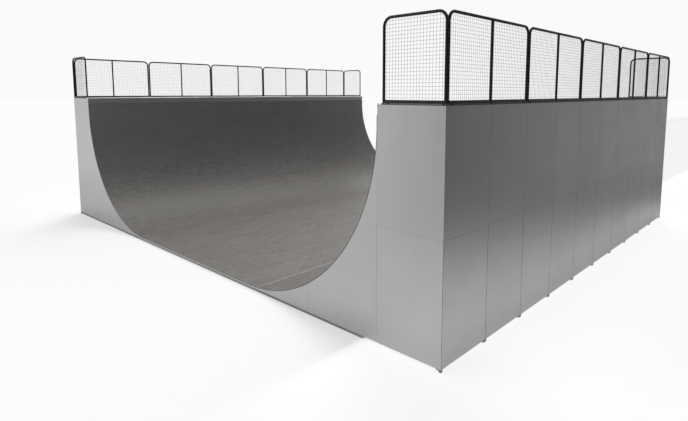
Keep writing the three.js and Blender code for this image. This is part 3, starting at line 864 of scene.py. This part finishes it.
# ---------------------------------------------------------------- coping
def coping():
    for side, s in (("right", 1), ("left", -1)):
        p = Piece()
        cx = COPING_FACE_X + COPING_D / 2
        cz = COPING_TOP - COPING_D / 2
        r = COPING_D / 2
        # tube with welded end caps, in two lengths with a joint in the middle
        for y0, y1 in ((-HALF_W, -0.0006), (0.0006, HALF_W)):
            length = y1 - y0
            turned(
                p,
                [
                    (0, 0),
                    (r * 0.8, 0),
                    (r * 0.95, 0.0012),
                    (r, 0.004),
                    (r, length - 0.004),
                    (r * 0.95, length - 0.0012),
                    (r * 0.8, length),
                    (0, length),
                ],
                (s * cx, y0, cz),
                (0, 1, 0),
                56,
            )
        # folded edge profile between the tube and the deck, in three lengths
        cuts = [-HALF_W, -2.0, 2.0, HALF_W]
        x0, x1 = cx + 0.012, DECK_X - 0.0006
        for y0, y1 in zip(cuts, cuts[1:]):
            box(p, s * x0, s * x1, y0 + 0.0006, y1 - 0.0006, CLAD_TOP + 0.0005, DECK_TOP, 0.0016)
        # recessed strip under the tube
        for y0, y1 in zip(cuts, cuts[1:]):
            box(
                p,
                s * (LIP_X + 0.008),
                s * (LIP_X + 0.014),
                max(y0, -HALF_W + 0.0036) + 0.0005,
                min(y1, HALF_W - 0.0036) - 0.0005,
                STRIP_BOTTOM,
                cz,
                0.0008,
            )
        p.make(f"{side}_coping_tube", ["coping"], "coping_steel", [f"{side}_coping"], 30)
        q = Piece()
        y = -HALF_W + 0.15
        while y < HALF_W:
            head(q, (s * (x0 + x1 + 0.02) / 2, y, DECK_TOP), (0, 0, 1), 0.006, 0.0002, 12)
            y += 0.45
        q.make(f"{side}_coping_screws", ["screw"], "galvanised_steel")


coping()


# ---------------------------------------------------------------- decks
def decks():
    for side, s in (("right", 1), ("left", -1)):
        p, q = Piece(), Piece()
        lines = [-HALF_W + DECK_SETBACK] + [-HALF_W + PITCH * j for j in range(2, BAYS, 2)]
        lines.append(HALF_W - DECK_SETBACK)
        x0, x1 = DECK_X + 0.0003, HALF_L - DECK_SETBACK
        for i, (y0, y1) in enumerate(zip(lines, lines[1:])):
            box(
                p,
                s * x0,
                s * x1,
                y0 + (0.0015 if i else 0),
                y1 - (0.0015 if i < 4 else 0),
                CLAD_TOP,
                DECK_TOP,
                0.0015,
                tone=rng.random(),
            )
        p.make(f"{side}_deck", ["deck"], "deck_board", [f"{side}_deck_boards"], 30)
        for j in range(BAYS + 1):
            for dy in (-0.03, 0.03) if j % 2 == 0 and 0 < j < BAYS else (0,):
                y = max(-HALF_W + 0.09, min(HALF_W - 0.09, -HALF_W + PITCH * j + dy))
                for x in (x0 + 0.04, x0 + 0.29, x0 + 0.54, x0 + 0.79, x1 - 0.07):
                    head(q, (s * x, y, DECK_TOP), (0, 0, 1), 0.006, 0.0006, 10)
        q.make(f"{side}_deck_screws", ["screw"], "galvanised_steel")


decks()


# ---------------------------------------------------------------- cladding
FACE = 0.0012  # the sheets lie this far inside the rivet heads


def back_cladding():
    h = SEAM / 2
    for side, s in (("right", 1), ("left", -1)):
        for k in range(BAYS // 2):
            p, q, b = Piece(), Piece(), Piece()
            ya = -HALF_W + 2 * PITCH * k + SEAM_Y
            first, last = k == 0, k == BAYS // 2 - 1
            y0 = -HALF_W + SHEET + 0.0003 if first else ya + h
            y1 = HALF_W - SHEET - 0.0003 if last else ya + 2 * PITCH - h
            ym = ya + PITCH
            xo, xi = s * (HALF_L - FACE), s * (HALF_L - SHEET)
            for a, c in ((y0, ym - h), (ym + h, y1)):
                for z0, z1 in ((CLAD_BOTTOM, SEAM_Z - LEVEL_SEAM / 2), (SEAM_Z + LEVEL_SEAM / 2, CLAD_TOP - 0.0003)):
                    # the lower sheets leave wider joints and stop short of the corner
                    low = z0 == CLAD_BOTTOM
                    d = (LOW_SEAM - SEAM) / 2 if low else (HIGH_SEAM - SEAM) / 2
                    groove = -HALF_W + SHEET + CORNER_GROOVE
                    ca = a + d if a > -HALF_W + 0.1 else groove if low else a
                    cc = c - d if c < HALF_W - 0.1 else -groove if low else c
                    box(p, xi, xo, ca, cc, z0, z1, 0.0007, tone=rng.random())
                    n = 6
                    for i in range(n + 1):
                        z = z0 + 0.022 + (z1 - z0 - 0.044) * i / n
                        for y in (a + 0.018, c - 0.018):
                            head(q, (xo, y, z), (s, 0, 0), 0.005, 0.0010)
                    for i in range(1, 4):
                        y = a + (c - a) * i / 4
                        for z in (z0 + 0.022, z1 - 0.022):
                            head(q, (xo, y, z), (s, 0, 0), 0.005, 0.0010)
            # battens behind the joints
            b0 = -HALF_W + SHEET + BATTEN + 0.0006 if first else ya + 0.0005
            b1 = HALF_W - SHEET - BATTEN - 0.0006 if last else ya + 2 * PITCH - 0.0005
            z0, z1, t = CLAD_BOTTOM + 0.010, CLAD_TOP - 0.0023, 0.030
            xa, xb = s * (HALF_L - SHEET - 0.0001), s * (HALF_L - SHEET - BATTEN)
            for a, c in ((b0, b0 + t), (ym - t, ym + t), (b1 - t, b1)):
                box(b, xa, xb, a, c, z0, z1)
            for a, c in ((b0 + t, ym - t), (ym + t, b1 - t)):
                for e, f in ((z0, z0 + 0.06), (SEAM_Z - t, SEAM_Z + t), (z1 - 0.06, z1)):
                    box(b, xa, xb, a, c, e, f)
            name = f"{side}_back_cladding_{k + 1}"
            p.make(f"{side}_back_sheets_{k + 1}", ["cladding"], "cladding", [name], 30)
            b.make(f"{side}_back_battens_{k + 1}", ["batten"], "cladding")
            q.make(f"{side}_back_rivets_{k + 1}", ["cladding"], "cladding")


def end_cladding():
    h, hl = END_SEAM / 2, LOW_END_SEAM / 2
    off = SKIN + 0.0008
    for side, s in (("right", 1), ("left", -1)):
        for end_name, e in (("near", -1), ("far", 1)):
            p, q, b, d = Piece(), Piece(), Piece(), Piece()
            yo, yi = e * (HALF_W - FACE), e * (HALF_W - SHEET)
            top = CLAD_TOP - 0.0003
            xl = LIP_X + 0.010
            notch_x = COPING_FACE_X + COPING_D + 0.002
            notch_z = COPING_TOP - COPING_D - 0.002
            a_k, a_k2 = angle_at_x(KNEE_X - hl, off), angle_at_x(KNEE_X + hl, off)
            a_m, a_m2 = angle_at_z(SEAM_Z - h, off), angle_at_z(SEAM_Z + h, off)
            a_s, a_o = angle_at_z(SLIVER_Z, off), angle_at_z(SLIVER_Z + END_SEAM, off)
            toe = on_arc(JOINT_A, off)[0]
            sheets = [
                [(toe, CLAD_BOTTOM), (KNEE_X - hl, CLAD_BOTTOM)]
                + arc(off, JOINT_A, a_k, 36)[::-1],
                [
                    (KNEE_X + hl, CLAD_BOTTOM),
                    (xl - hl, CLAD_BOTTOM),
                    (xl - hl, SEAM_Z - h),
                ]
                + arc(off, a_k2, a_m, 36)[::-1],
                rect(xl + hl, CLAD_BOTTOM, HALF_L - 0.0004, SEAM_Z - h),
                [(xl - h, SEAM_Z + h), (xl - h, on_arc(a_s, off)[1])]
                + arc(off, a_m2, a_s, 28)[::-1],
                [
                    (xl + h, SEAM_Z + h),
                    (HALF_L - 0.0004, SEAM_Z + h),
                    (HALF_L - 0.0004, top),
                    (notch_x, top),
                    (notch_x, notch_z),
                    (LIP_X + off, notch_z),
                ]
                + arc(off, a_o, 90, 6)[::-1]
                + [(xl + h, on_arc(a_o, off)[1])],
            ]
            for outline in sheets:
                prism(
                    p,
                    flip(s, outline),
                    along_y,
                    min(yo, yi),
                    max(yo, yi),
                    0.0006,
                    tone=rng.random(),
                )

            def rivet(x, z):
                head(q, (s * x, yo, z), (0, e, 0), 0.005, 0.0010)

            # rivets: along the curve, the joints and the outer edges
            a = JOINT_A + 3
            while a < 88:
                x, z = on_arc(a, off + 0.024)
                if z > CLAD_BOTTOM + 0.05 and (x < xl - 0.03 or z > SLIVER_Z + 0.1):
                    rivet(x, z)
                a += arc_angle(0.30)
            for x in (KNEE_X - 0.02, KNEE_X + 0.02):
                z = CLAD_BOTTOM + 0.03
                while z < on_arc(angle_at_x(x, off), off)[1] - 0.06:
                    rivet(x, z)
                    z += 0.28
            for x in (xl - 0.02, xl + 0.02, HALF_L - 0.022):
                z = CLAD_BOTTOM + 0.03
                while z < CLAD_TOP - 0.03:
                    if abs(z - SEAM_Z) > 0.02 and (x != xl - 0.02 or z < 2.7):
                        rivet(x, z)
                    z += 0.2985
            for z in (SEAM_Z - 0.022, SEAM_Z + 0.022, CLAD_BOTTOM + 0.022, CLAD_TOP - 0.022):
                if z < 0.2:
                    x = toe + 0.9
                elif z < 3.2:
                    x = on_arc(angle_at_z(z, off), off)[0] + 0.06
                else:
                    x = LIP_X + 0.12
                while x < HALF_L - 0.1:
                    if abs(x - xl) > 0.05 and not (z < 0.2 and abs(x - KNEE_X) < 0.05):
                        rivet(x, z)
                    x += 0.30
            # battens behind the joints and edges
            yb = e * (HALF_W - SHEET - BATTEN)
            ya = e * (HALF_W - SHEET - 0.0001)
            lo_y, hi_y = min(ya, yb), max(ya, yb)
            bo, bi = 0.0260, 0.085
            a0 = angle_at_x(2.75, bo)
            prism(
                b,
                flip(s, arc(bo, a0, 90, 40) + arc(bi, a0 + 12, 90, 40)[::-1]),
                along_y,
                lo_y,
                hi_y,
            )
            z0, z1, t = CLAD_BOTTOM + 0.010, top - 0.002, 0.030
            bx = HALF_L - SHEET - BATTEN - 0.0006
            knee_z = on_arc(angle_at_x(KNEE_X, bo), bo)[1] - 0.02
            for x0, x1, zz0, zz1 in (
                (KNEE_X - t, KNEE_X + t, z0, knee_z),
                (xl - t, xl + t, z0, 1.82),
                (bx - 0.06, bx, z0, z1),
                (xl + 0.03, bx - 0.06, z0, z0 + 0.06),
                (KNEE_X + t, xl - t, z0, z0 + 0.06),
                (3.4, KNEE_X - t, z0, z0 + 0.06),
                (on_arc(angle_at_z(1.85, bi), bi)[0] - 0.04, bx - 0.06, 1.82, 1.88),
                (LIP_X + 0.0265, LIP_X + 0.10, 1.88, 3.62),
                (notch_x + 0.06, bx - 0.06, z1 - 0.06, z1),
            ):
                part = d if x0 == bx - 0.06 else b
                prism(part, flip(s, rect(x0, zz0, x1, zz1)), along_y, lo_y, hi_y)
            name = f"{side}_{end_name}_end_cladding"
            p.make(f"{side}_{end_name}_end_sheets", ["cladding"], "cladding", [name], 30)
            b.make(f"{side}_{end_name}_end_battens", ["pale batten"], "cladding")
            # the corner batten takes the near-black batten: painted shade in the corner joint
            d.make(f"{side}_{end_name}_corner_batten", ["batten"], "cladding")
            q.make(f"{side}_{end_name}_end_rivets", ["cladding"], "cladding")


def edge_strips():
    a1 = JOINT_A - arc_angle(0.0025)
    off = SKIN + 0.0008
    for name, e in (("near", -1), ("far", 1)):
        p, q = Piece(), Piece()
        up = arc(off, 0, a1, 6)
        outline = (
            [(-up[-1][0], CLAD_BOTTOM), (up[-1][0], CLAD_BOTTOM)]
            + up[::-1]
            + [(-a, b) for a, b in up][1:]
        )
        yo, yi = e * (HALF_W - FACE), e * (HALF_W - SHEET)
        prism(p, outline, along_y, min(yo, yi), max(yo, yi), 0.0006, tone=0.5)
        p.make(f"{name}_edge_strip", ["cladding"], "cladding", [f"{name}_flat_edge_strip"], 30)
        for i in range(-8, 9):
            head(q, (i * 0.3, yo, 0.059), (0, e, 0), 0.004, 0.0008)
        q.make(f"{name}_edge_rivets", ["cladding"], "cladding")


back_cladding()
end_cladding()
edge_strips()


# ---------------------------------------------------------------- guards
WIRE_R = 0.0016
WIRE_PITCH = 0.0515


def guard(name, node, plane, u0, u1, centre, lugs):
    """Bent tube frame, centre post, welded wire mesh and fixing lugs. plane(u, w, z) gives the point."""
    r, rc = TUBE_R, GUARD_CORNER
    zb, zt = GUARD_BASE, GUARD_TOP - TUBE_R
    zc = zt - rc
    tubes, mesh, fix = Piece(), Piece(), Piece()
    path = [(u0, zb), (u0, zc * 0.5 + zb * 0.5)]
    path += [
        (u0 + rc - rc * math.cos(math.radians(t)), zc + rc * math.sin(math.radians(t)))
        for t in range(0, 91, 9)
    ]
    path += [
        (u1 - rc + rc * math.sin(math.radians(t)), zc + rc * math.cos(math.radians(t)))
        for t in range(0, 91, 9)
    ]
    path += [(u1, zc * 0.5 + zb * 0.5), (u1, zb)]
    planar_tube(tubes, path, r, plane, 22)
    base = zb + r
    planar_tube(tubes, [(u0 + 0.004, base), (u1 - 0.004, base)], r, plane, 22)
    centres = [] if centre is None else [centre]
    for c in centres:
        planar_tube(tubes, [(c, base + 0.004), (c, zt - 0.004)], r, plane, 22)
        for z in (base + r + 0.001, zt - r - 0.001):
            collar(tubes, plane(c, 0, z), (0, 0, 1), r + 0.0002, 0.0022)
    along = Vector(plane(1, 0, 0)) - Vector(plane(0, 0, 0))
    for u in (u0 + r + 0.001, u1 - r - 0.001):
        collar(tubes, plane(u, 0, base), along, r + 0.0002, 0.0022)

    # wires: uprights in front, crosswires behind, welded where they touch
    edges = [u0] + centres + [u1]

    def top_at(u):
        if u < u0 + rc:
            return zc + math.sqrt(max(0, rc * rc - (u0 + rc - u) ** 2))
        if u > u1 - rc:
            return zc + math.sqrt(max(0, rc * rc - (u - u1 + rc) ** 2))
        return zt

    rows = round((zt - base) / WIRE_PITCH)
    for a, b in zip(edges, edges[1:]):
        cols = round((b - a) / WIRE_PITCH)
        for i in range(1, cols):
            u = a + (b - a) * i / cols
            rod(mesh, plane(u, WIRE_R * 0.9, base), plane(u, WIRE_R * 0.9, top_at(u)), WIRE_R, 8)
        for j in range(1, rows):
            z = base + (zt - base) * j / rows
            cut = rc - math.sqrt(max(0, rc * rc - max(0, z - zc) ** 2))
            lo = a + (cut if a == u0 else 0)
            hi = b - (cut if b == u1 else 0)
            rod(mesh, plane(lo, -WIRE_R * 0.9, z), plane(hi, -WIRE_R * 0.9, z), WIRE_R, 8)

    # lugs: flat bars welded to the outer side of the base tube, bolted to the deck's edge
    w_out = Vector(plane(0, 1, 0)) - Vector(plane(0, 0, 0))
    face = 0.0228  # outer limit of the lug and bolt, from the plane of the tubes
    for u in lugs:
        outline = round_rect(u - 0.015, CLAD_TOP + 0.004, u + 0.015, base + 0.004, 0.004, 3)
        prism(
            fix,
            outline,
            lambda a, b, t: plane(a, t, b),
            face - 0.0075,
            face - 0.0030,
            0.0006,
        )
        at = plane(u, face - 0.0031, CLAD_TOP + 0.0165)
        turned(
            fix,
            [(0, -0.001), (0.0085, -0.001), (0.0085, 0.0008), (0.0065, 0.0022), (0.003, 0.0029), (0, 0.0030)],
            at,
            w_out,
            16,
        )
    t = tubes.make(f"{name}_tubes", ["guard"], "guard_black", [node], 40)
    mesh.make(f"{name}_wire_mesh", ["guard"], "guard_black", (), 50)
    fix.make(f"{name}_lugs", ["guard"], "guard_black", (), 30)
    return t


def guards():
    for side, s in (("right", 1), ("left", -1)):
        for k in range(BAYS // 2):
            first, last = k == 0, k == BAYS // 2 - 1
            yc = -HALF_W + 2 * PITCH * k + PITCH
            step = 2 * TUBE_R + 0.001
            u0 = -(HALF_W - GUARD_PLANE) + step if first else yc - PITCH + GUARD_PAIR / 2
            u1 = HALF_W - GUARD_PLANE - step if last else yc + PITCH - GUARD_PAIR / 2
            guard(
                f"{side}_back_guard_{k + 1}",
                f"{side}_back_guard_{k + 1}",
                lambda u, w, z, s=s: (s * (HALF_L - GUARD_PLANE + w), u, z),
                u0,
                u1,
                yc,
                (u0 + 0.085, yc, u1 - 0.085),
            )
        for end_name, e in (("near", -1), ("far", 1)):
            u0, u1 = LIP_POST_X, HALF_L - GUARD_PLANE
            guard(
                f"{side}_{end_name}_end_guard",
                f"{side}_{end_name}_end_guard",
                lambda u, w, z, s=s, e=e: (s * u, e * (HALF_W - GUARD_PLANE + w), z),
                u0,
                u1,
                None,
                (u0 + 0.086, u1 - 0.020),
            )


guards()


# ---------------------------------------------------------------- base rails and feet
def shoe(f, s, j):
    """Foot under the wall: a pad each side of a cladding joint, on a saddle under the rail."""
    y = -HALF_W + PITCH * j + (SEAM_Y if 0 < j < BAYS else 0)
    h = SEAM / 2
    pads = []
    if j > 0:
        pads.append([y - 0.040, y - h])
    if j < BAYS:
        pads.append([y + h, y + 0.040])
    if j == 0:
        pads[0][0] = y + 0.001
    if j == BAYS:
        pads[0][1] = y - 0.001
    for a, b in pads:
        box(f, s * 6.794, s * 6.833, a, b, 0.0, 0.0397, 0.0015)
    y0, y1 = pads[0][0], pads[-1][1]
    box(f, s * 6.752, s * 6.806, y0 + 0.0005, y1 - 0.0005, 0.024, 0.0395, 0.001)
    y0 = max(y0, -END_RIB_Y - 0.018) - (0.03 if j == BAYS else 0)
    y1 = min(y1, END_RIB_Y + 0.018) + (0.03 if j == 0 else 0)
    box(f, s * 6.753, s * 6.805, y0 + 0.0005, y1 - 0.0005, 0.0245, 0.052, 0.001)


def base_rails():
    for side, s in (("right", 1), ("left", -1)):
        for which, x in (("outer", OUTER_RAIL_X), ("inner", INNER_RAIL_X)):
            p, f = Piece(), Piece()
            prism(
                p,
                flip(s, round_rect(x - 0.030, 0.050, x + 0.030, 0.092, 0.006, 4)),
                along_y,
                -END_RIB_Y - 0.020,
                END_RIB_Y + 0.020,
                0.001,
            )
            for j in range(BAYS + 1):
                if which == "outer":
                    shoe(f, s, j)
                    continue
                y = max(-END_RIB_Y + 0.005, min(END_RIB_Y - 0.005, -HALF_W + PITCH * j))
                profile = [(0, 0), (0.019, 0), (0.0235, 0.004), (0.025, 0.010), (0.025, 0.015), (0.020, 0.020), (0.014, 0.021)]
                z = 0.0215
                while z < 0.032:
                    profile += [(0.0120, z), (0.0106, z + 0.001), (0.0120, z + 0.002)]
                    z += 0.0025
                profile += [(0.012, 0.051), (0, 0.051)]
                turned(f, profile, (s * x, y, 0), (0, 0, 1), 20)
                # lock nut under the rail
                turned(
                    f,
                    [(0, 0.036), (0.019, 0.036), (0.0205, 0.0375), (0.0205, 0.0485), (0.019, 0.0499), (0, 0.0499)],
                    (s * x, y, 0),
                    (0, 0, 1),
                    6,
                    spin=rng.random(),
                )
            p.make(f"{side}_{which}_rail", ["galvanised"], "galvanised_steel", [f"{side}_{which}_base_rail"], 30)
            f.make(f"{side}_{which}_feet", ["shoe" if which == "outer" else "galvanised"], "galvanised_steel", (), 35)


base_rails()

# frame nodes that keep their own shape
for name, ob in frame["nodes"].items():
    if ob.hide_render:
        continue
    want = "plywood" if "plywood" in name else "galvanised"
    ob.data.materials.clear()
    ob.data.materials.append(M[want])


# ---------------------------------------------------------------- floor, light and backdrop
FLOOR_ALBEDO = 0.55
# depth of the painted shadow on the floor in front of the near side
PAINTED_NEAR_SHADOW = -0.17
FLOOR_GLOW = 0.585

# brightness of the backdrop by azimuth, in degrees: near the horizon, and halfway up
HORIZON = ((350, 0.000), (20, 0.000), (45, 0.000), (62, 0.253), (80, 0.958), (98, 0.956), (170, 0.956), (190, 0.096), (211, 2.366), (232, 0.498), (260, 0.350), (290, 0.684), (320, 0.202))
HALFWAY = ((0, 0.075), (60, 0.228), (120, 0.782), (180, 0.960), (240, 1.041), (300, 0.642))
ZENITH = 0.000
BACKDROP = 0.956


def map_range(t, v, a, b, lo, hi, kind="SMOOTHSTEP"):
    n = t.nodes.new("ShaderNodeMapRange")
    n.interpolation_type = kind
    t.links.new(v, n.inputs["Value"])
    for key, value in (("From Min", a), ("From Max", b), ("To Min", lo), ("To Max", hi)):
        n.inputs[key].default_value = value
    return n.outputs[0]


def sum_or_product(t, op, a, b):
    n = t.nodes.new("ShaderNodeMath")
    n.operation = op
    t.links.new(a, n.inputs[0])
    if isinstance(b, float):
        n.inputs[1].default_value = b
    else:
        t.links.new(b, n.inputs[1])
    return n.outputs[0]


def blend(t, fac, a, b):
    n = t.nodes.new("ShaderNodeMix")
    for socket, value in zip(n.inputs, (fac, None, a, b)):
        if value is None:
            continue
        if isinstance(value, (int, float)):
            socket.default_value = value
        else:
            t.links.new(value, socket)
    return n.outputs[0]


EDGE = 0.985 * 10.476 - 0.170 * 11.566  # right-hand edge of the picture on the floor


def stage(albedo, glow):
    """A wide pale floor that ends outside the right and just below the lower edge of the picture."""
    n, r = 96, 400.0
    pts = [Vector((r * math.cos(2 * math.pi * i / n), r * math.sin(2 * math.pi * i / n))) for i in range(n)]
    for axis, limit in (
        (Vector((0.985, 0.170)), EDGE + 2.6),
        (Vector((0, -1)), 10.6),
    ):
        kept = []
        for a, b in zip(pts, pts[1:] + pts[:1]):
            da, db = axis.dot(a) - limit, axis.dot(b) - limit
            if da <= 0:
                kept.append(a)
            if da * db < 0:
                kept.append(a.lerp(b, da / (da - db)))
        pts = kept
    p = bpy.data.meshes.new("floor")
    p.from_pydata([(v.x, v.y, -0.0005) for v in pts], [], [tuple(range(len(pts)))])
    m = bpy.data.materials.new("pale_floor")
    m.use_nodes = True
    t = m.node_tree
    b = t.nodes["Principled BSDF"]
    b.inputs["Base Color"].default_value = (albedo, albedo, albedo, 1)
    b.inputs["Roughness"].default_value = 0.9
    b.inputs["Specular IOR Level"].default_value = 0.0
    b.inputs["Emission Color"].default_value = (1, 1, 1, 1)
    # the ramp's shadow is evened out on the right, where the picture shows none
    # painted light: the floor's glow is raised there to fill the shadow
    at = t.nodes.new("ShaderNodeSeparateXYZ")
    t.links.new(t.nodes.new("ShaderNodeTexCoord").outputs["Object"], at.inputs[0])
    spread = map_range(t, at.outputs["Y"], 8.0, 36.0, 0.0, 9.8, "LINEAR")
    painted_fill_light = map_range(t, sum_or_product(t, "ADD", at.outputs["X"], spread), 5.25, 5.6, 0.0, 1.0)
    for factor in (
        map_range(t, at.outputs["X"], 7.0, 9.6, 0.245, 0.095),
        map_range(t, at.outputs["Y"], -8.8, -4.3, 0.07, 1.0),
        map_range(t, at.outputs["Y"], 6.0, 8.2, 1.0, 0.15),
    ):
        painted_fill_light = sum_or_product(t, "MULTIPLY", painted_fill_light, factor)
    # and it gives almost no light of its own under the ramp
    # painted shade: the floor's glow is cut under the ramp, so the gap under the walls reads dark
    under = None
    for axis, a, c in (("X", 5.33, 5.43), ("X", -HALF_L, -HALF_L - 0.1), ("Y", -5.99, -6.01), ("Y", 5.99, 6.01)):
        inside = map_range(t, at.outputs[axis], a, c, 1.0, 0.0)
        under = inside if under is None else sum_or_product(t, "MULTIPLY", under, inside)
    kept = sum_or_product(t, "ADD", sum_or_product(t, "MULTIPLY", under, -0.9), 1.0)
    # nor right in front of the near side, over a width that grows with the height of the wall
    # painted shadow: the floor's glow is lowered in front of the near side
    off = sum_or_product(t, "MULTIPLY", sum_or_product(t, "ADD", at.outputs["Y"], HALF_W), -1.0)
    tall = sum_or_product(t, "ABSOLUTE", at.outputs["X"], 0.0)
    tall = map_range(t, tall, 2.7, 5.3, 0.0, 1.0, "LINEAR")
    tall = sum_or_product(t, "POWER", tall, 1.4)
    width = sum_or_product(t, "ADD", sum_or_product(t, "MULTIPLY", tall, 1.02), 0.09)
    near = map_range(t, sum_or_product(t, "DIVIDE", off, width), 0.0, 1.15, PAINTED_NEAR_SHADOW, 0.0)
    for axis, a, c in (("X", 5.33, 5.43), ("X", -6.6, -7.6)):
        near = sum_or_product(t, "MULTIPLY", near, map_range(t, at.outputs[axis], a, c, 1.0, 0.0))
    kept = sum_or_product(t, "MULTIPLY", kept, sum_or_product(t, "ADD", near, 1.0))
    # outside the picture the floor's own light dies away to the right; seen directly it stays pale
    seen = t.nodes.new("ShaderNodeLightPath").outputs["Is Camera Ray"]
    past = sum_or_product(t, "ADD", sum_or_product(t, "MULTIPLY", at.outputs["X"], 0.985), sum_or_product(t, "MULTIPLY", at.outputs["Y"], 0.170))
    faded = map_range(t, past, EDGE + 0.03, EDGE + 1.6, 1.0, 0.0)
    kept = sum_or_product(t, "MULTIPLY", kept, sum_or_product(t, "MAXIMUM", faded, seen))
    light = sum_or_product(t, "MULTIPLY", sum_or_product(t, "ADD", painted_fill_light, glow), kept)
    t.links.new(light, b.inputs["Emission Strength"])
    p.materials.append(m)
    ob = bpy.data.objects.new("floor", p)
    bpy.context.scene.collection.objects.link(ob)


def around(t, azimuth, stops):
    """Brightness round the horizon through the stops, which are in degrees; a ramp holds at most 2."""
    n = t.nodes.new("ShaderNodeValToRGB")
    first = stops[0][0]
    turned = [((a - first) % 360 / 360, v) for a, v in stops] + [(1.0, stops[0][1])]
    at = t.nodes.new("ShaderNodeMath")
    at.operation = "WRAP"
    t.links.new(azimuth, at.inputs[0])
    at.inputs[1].default_value = math.radians(first + 360)
    at.inputs[2].default_value = math.radians(first)
    to = t.nodes.new("ShaderNodeMapRange")
    t.links.new(at.outputs[0], to.inputs["Value"])
    to.inputs["From Min"].default_value = math.radians(first)
    to.inputs["From Max"].default_value = math.radians(first + 360)
    t.links.new(to.outputs[0], n.inputs[0])
    e = n.color_ramp.elements
    while len(e) < len(turned):
        e.new(0.5)
    for i, (pos, v) in enumerate(turned):
        e[i].position = pos
        e[i].color = (v / 2, v / 2, v / 2, 1)
    gain = t.nodes.new("ShaderNodeMath")
    gain.operation = "MULTIPLY"
    t.links.new(n.outputs[0], gain.inputs[0])
    gain.inputs[1].default_value = 2.0
    return gain.outputs[0]


def world(horizon, halfway, zenith):
    w = bpy.data.worlds.new("studio")
    bpy.context.scene.world = w
    w.use_nodes = True
    t = w.node_tree
    t.nodes.clear()
    out = t.nodes.new("ShaderNodeOutputWorld")
    bg = t.nodes.new("ShaderNodeBackground")
    t.links.new(bg.outputs[0], out.inputs[0])
    d = t.nodes.new("ShaderNodeTexCoord").outputs["Generated"]
    xyz = t.nodes.new("ShaderNodeSeparateXYZ")
    t.links.new(d, xyz.inputs[0])
    az = t.nodes.new("ShaderNodeMath")
    az.operation = "ARCTAN2"
    t.links.new(xyz.outputs["Y"], az.inputs[0])
    t.links.new(xyz.outputs["X"], az.inputs[1])
    low = around(t, az.outputs[0], horizon)
    mid = around(t, az.outputs[0], halfway)
    z = xyz.outputs["Z"]
    b = blend(t, map_range(t, z, 0.25, 0.45, 0.0, 1.0), low, mid)
    b = blend(t, map_range(t, z, 0.78, 0.96, 0.0, 1.0), b, zenith)
    # seen directly, the backdrop is one pale tone all round
    seen = t.nodes.new("ShaderNodeLightPath").outputs["Is Camera Ray"]
    t.links.new(blend(t, seen, b, BACKDROP), bg.inputs["Strength"])
    bg.inputs["Color"].default_value = (1, 1, 1, 1)


# soft lamps: azimuth, height and spread in degrees, strength
LAMPS = ((126, 65, 25, 0.695), (126, 38, 25, 0.218))


def soft_lamps(lamps):
    for az, el, spread, strength in lamps:
        data = bpy.data.lights.new("soft_lamp", "SUN")
        data.energy = strength
        data.angle = math.radians(spread)
        ob = bpy.data.objects.new("soft_lamp", data)
        bpy.context.scene.collection.objects.link(ob)
        a, e = math.radians(az), math.radians(el)
        d = Vector((math.cos(e) * math.cos(a), math.cos(e) * math.sin(a), math.sin(e)))
        ob.rotation_euler = d.to_track_quat("Z", "Y").to_euler()


stage(FLOOR_ALBEDO, FLOOR_GLOW)
world(HORIZON, HALFWAY, ZENITH)
soft_lamps(LAMPS)

view = bpy.context.scene.view_settings
view.view_transform = "Standard"
view.look = "None"
view.exposure = 0.0
view.gamma = 1.0
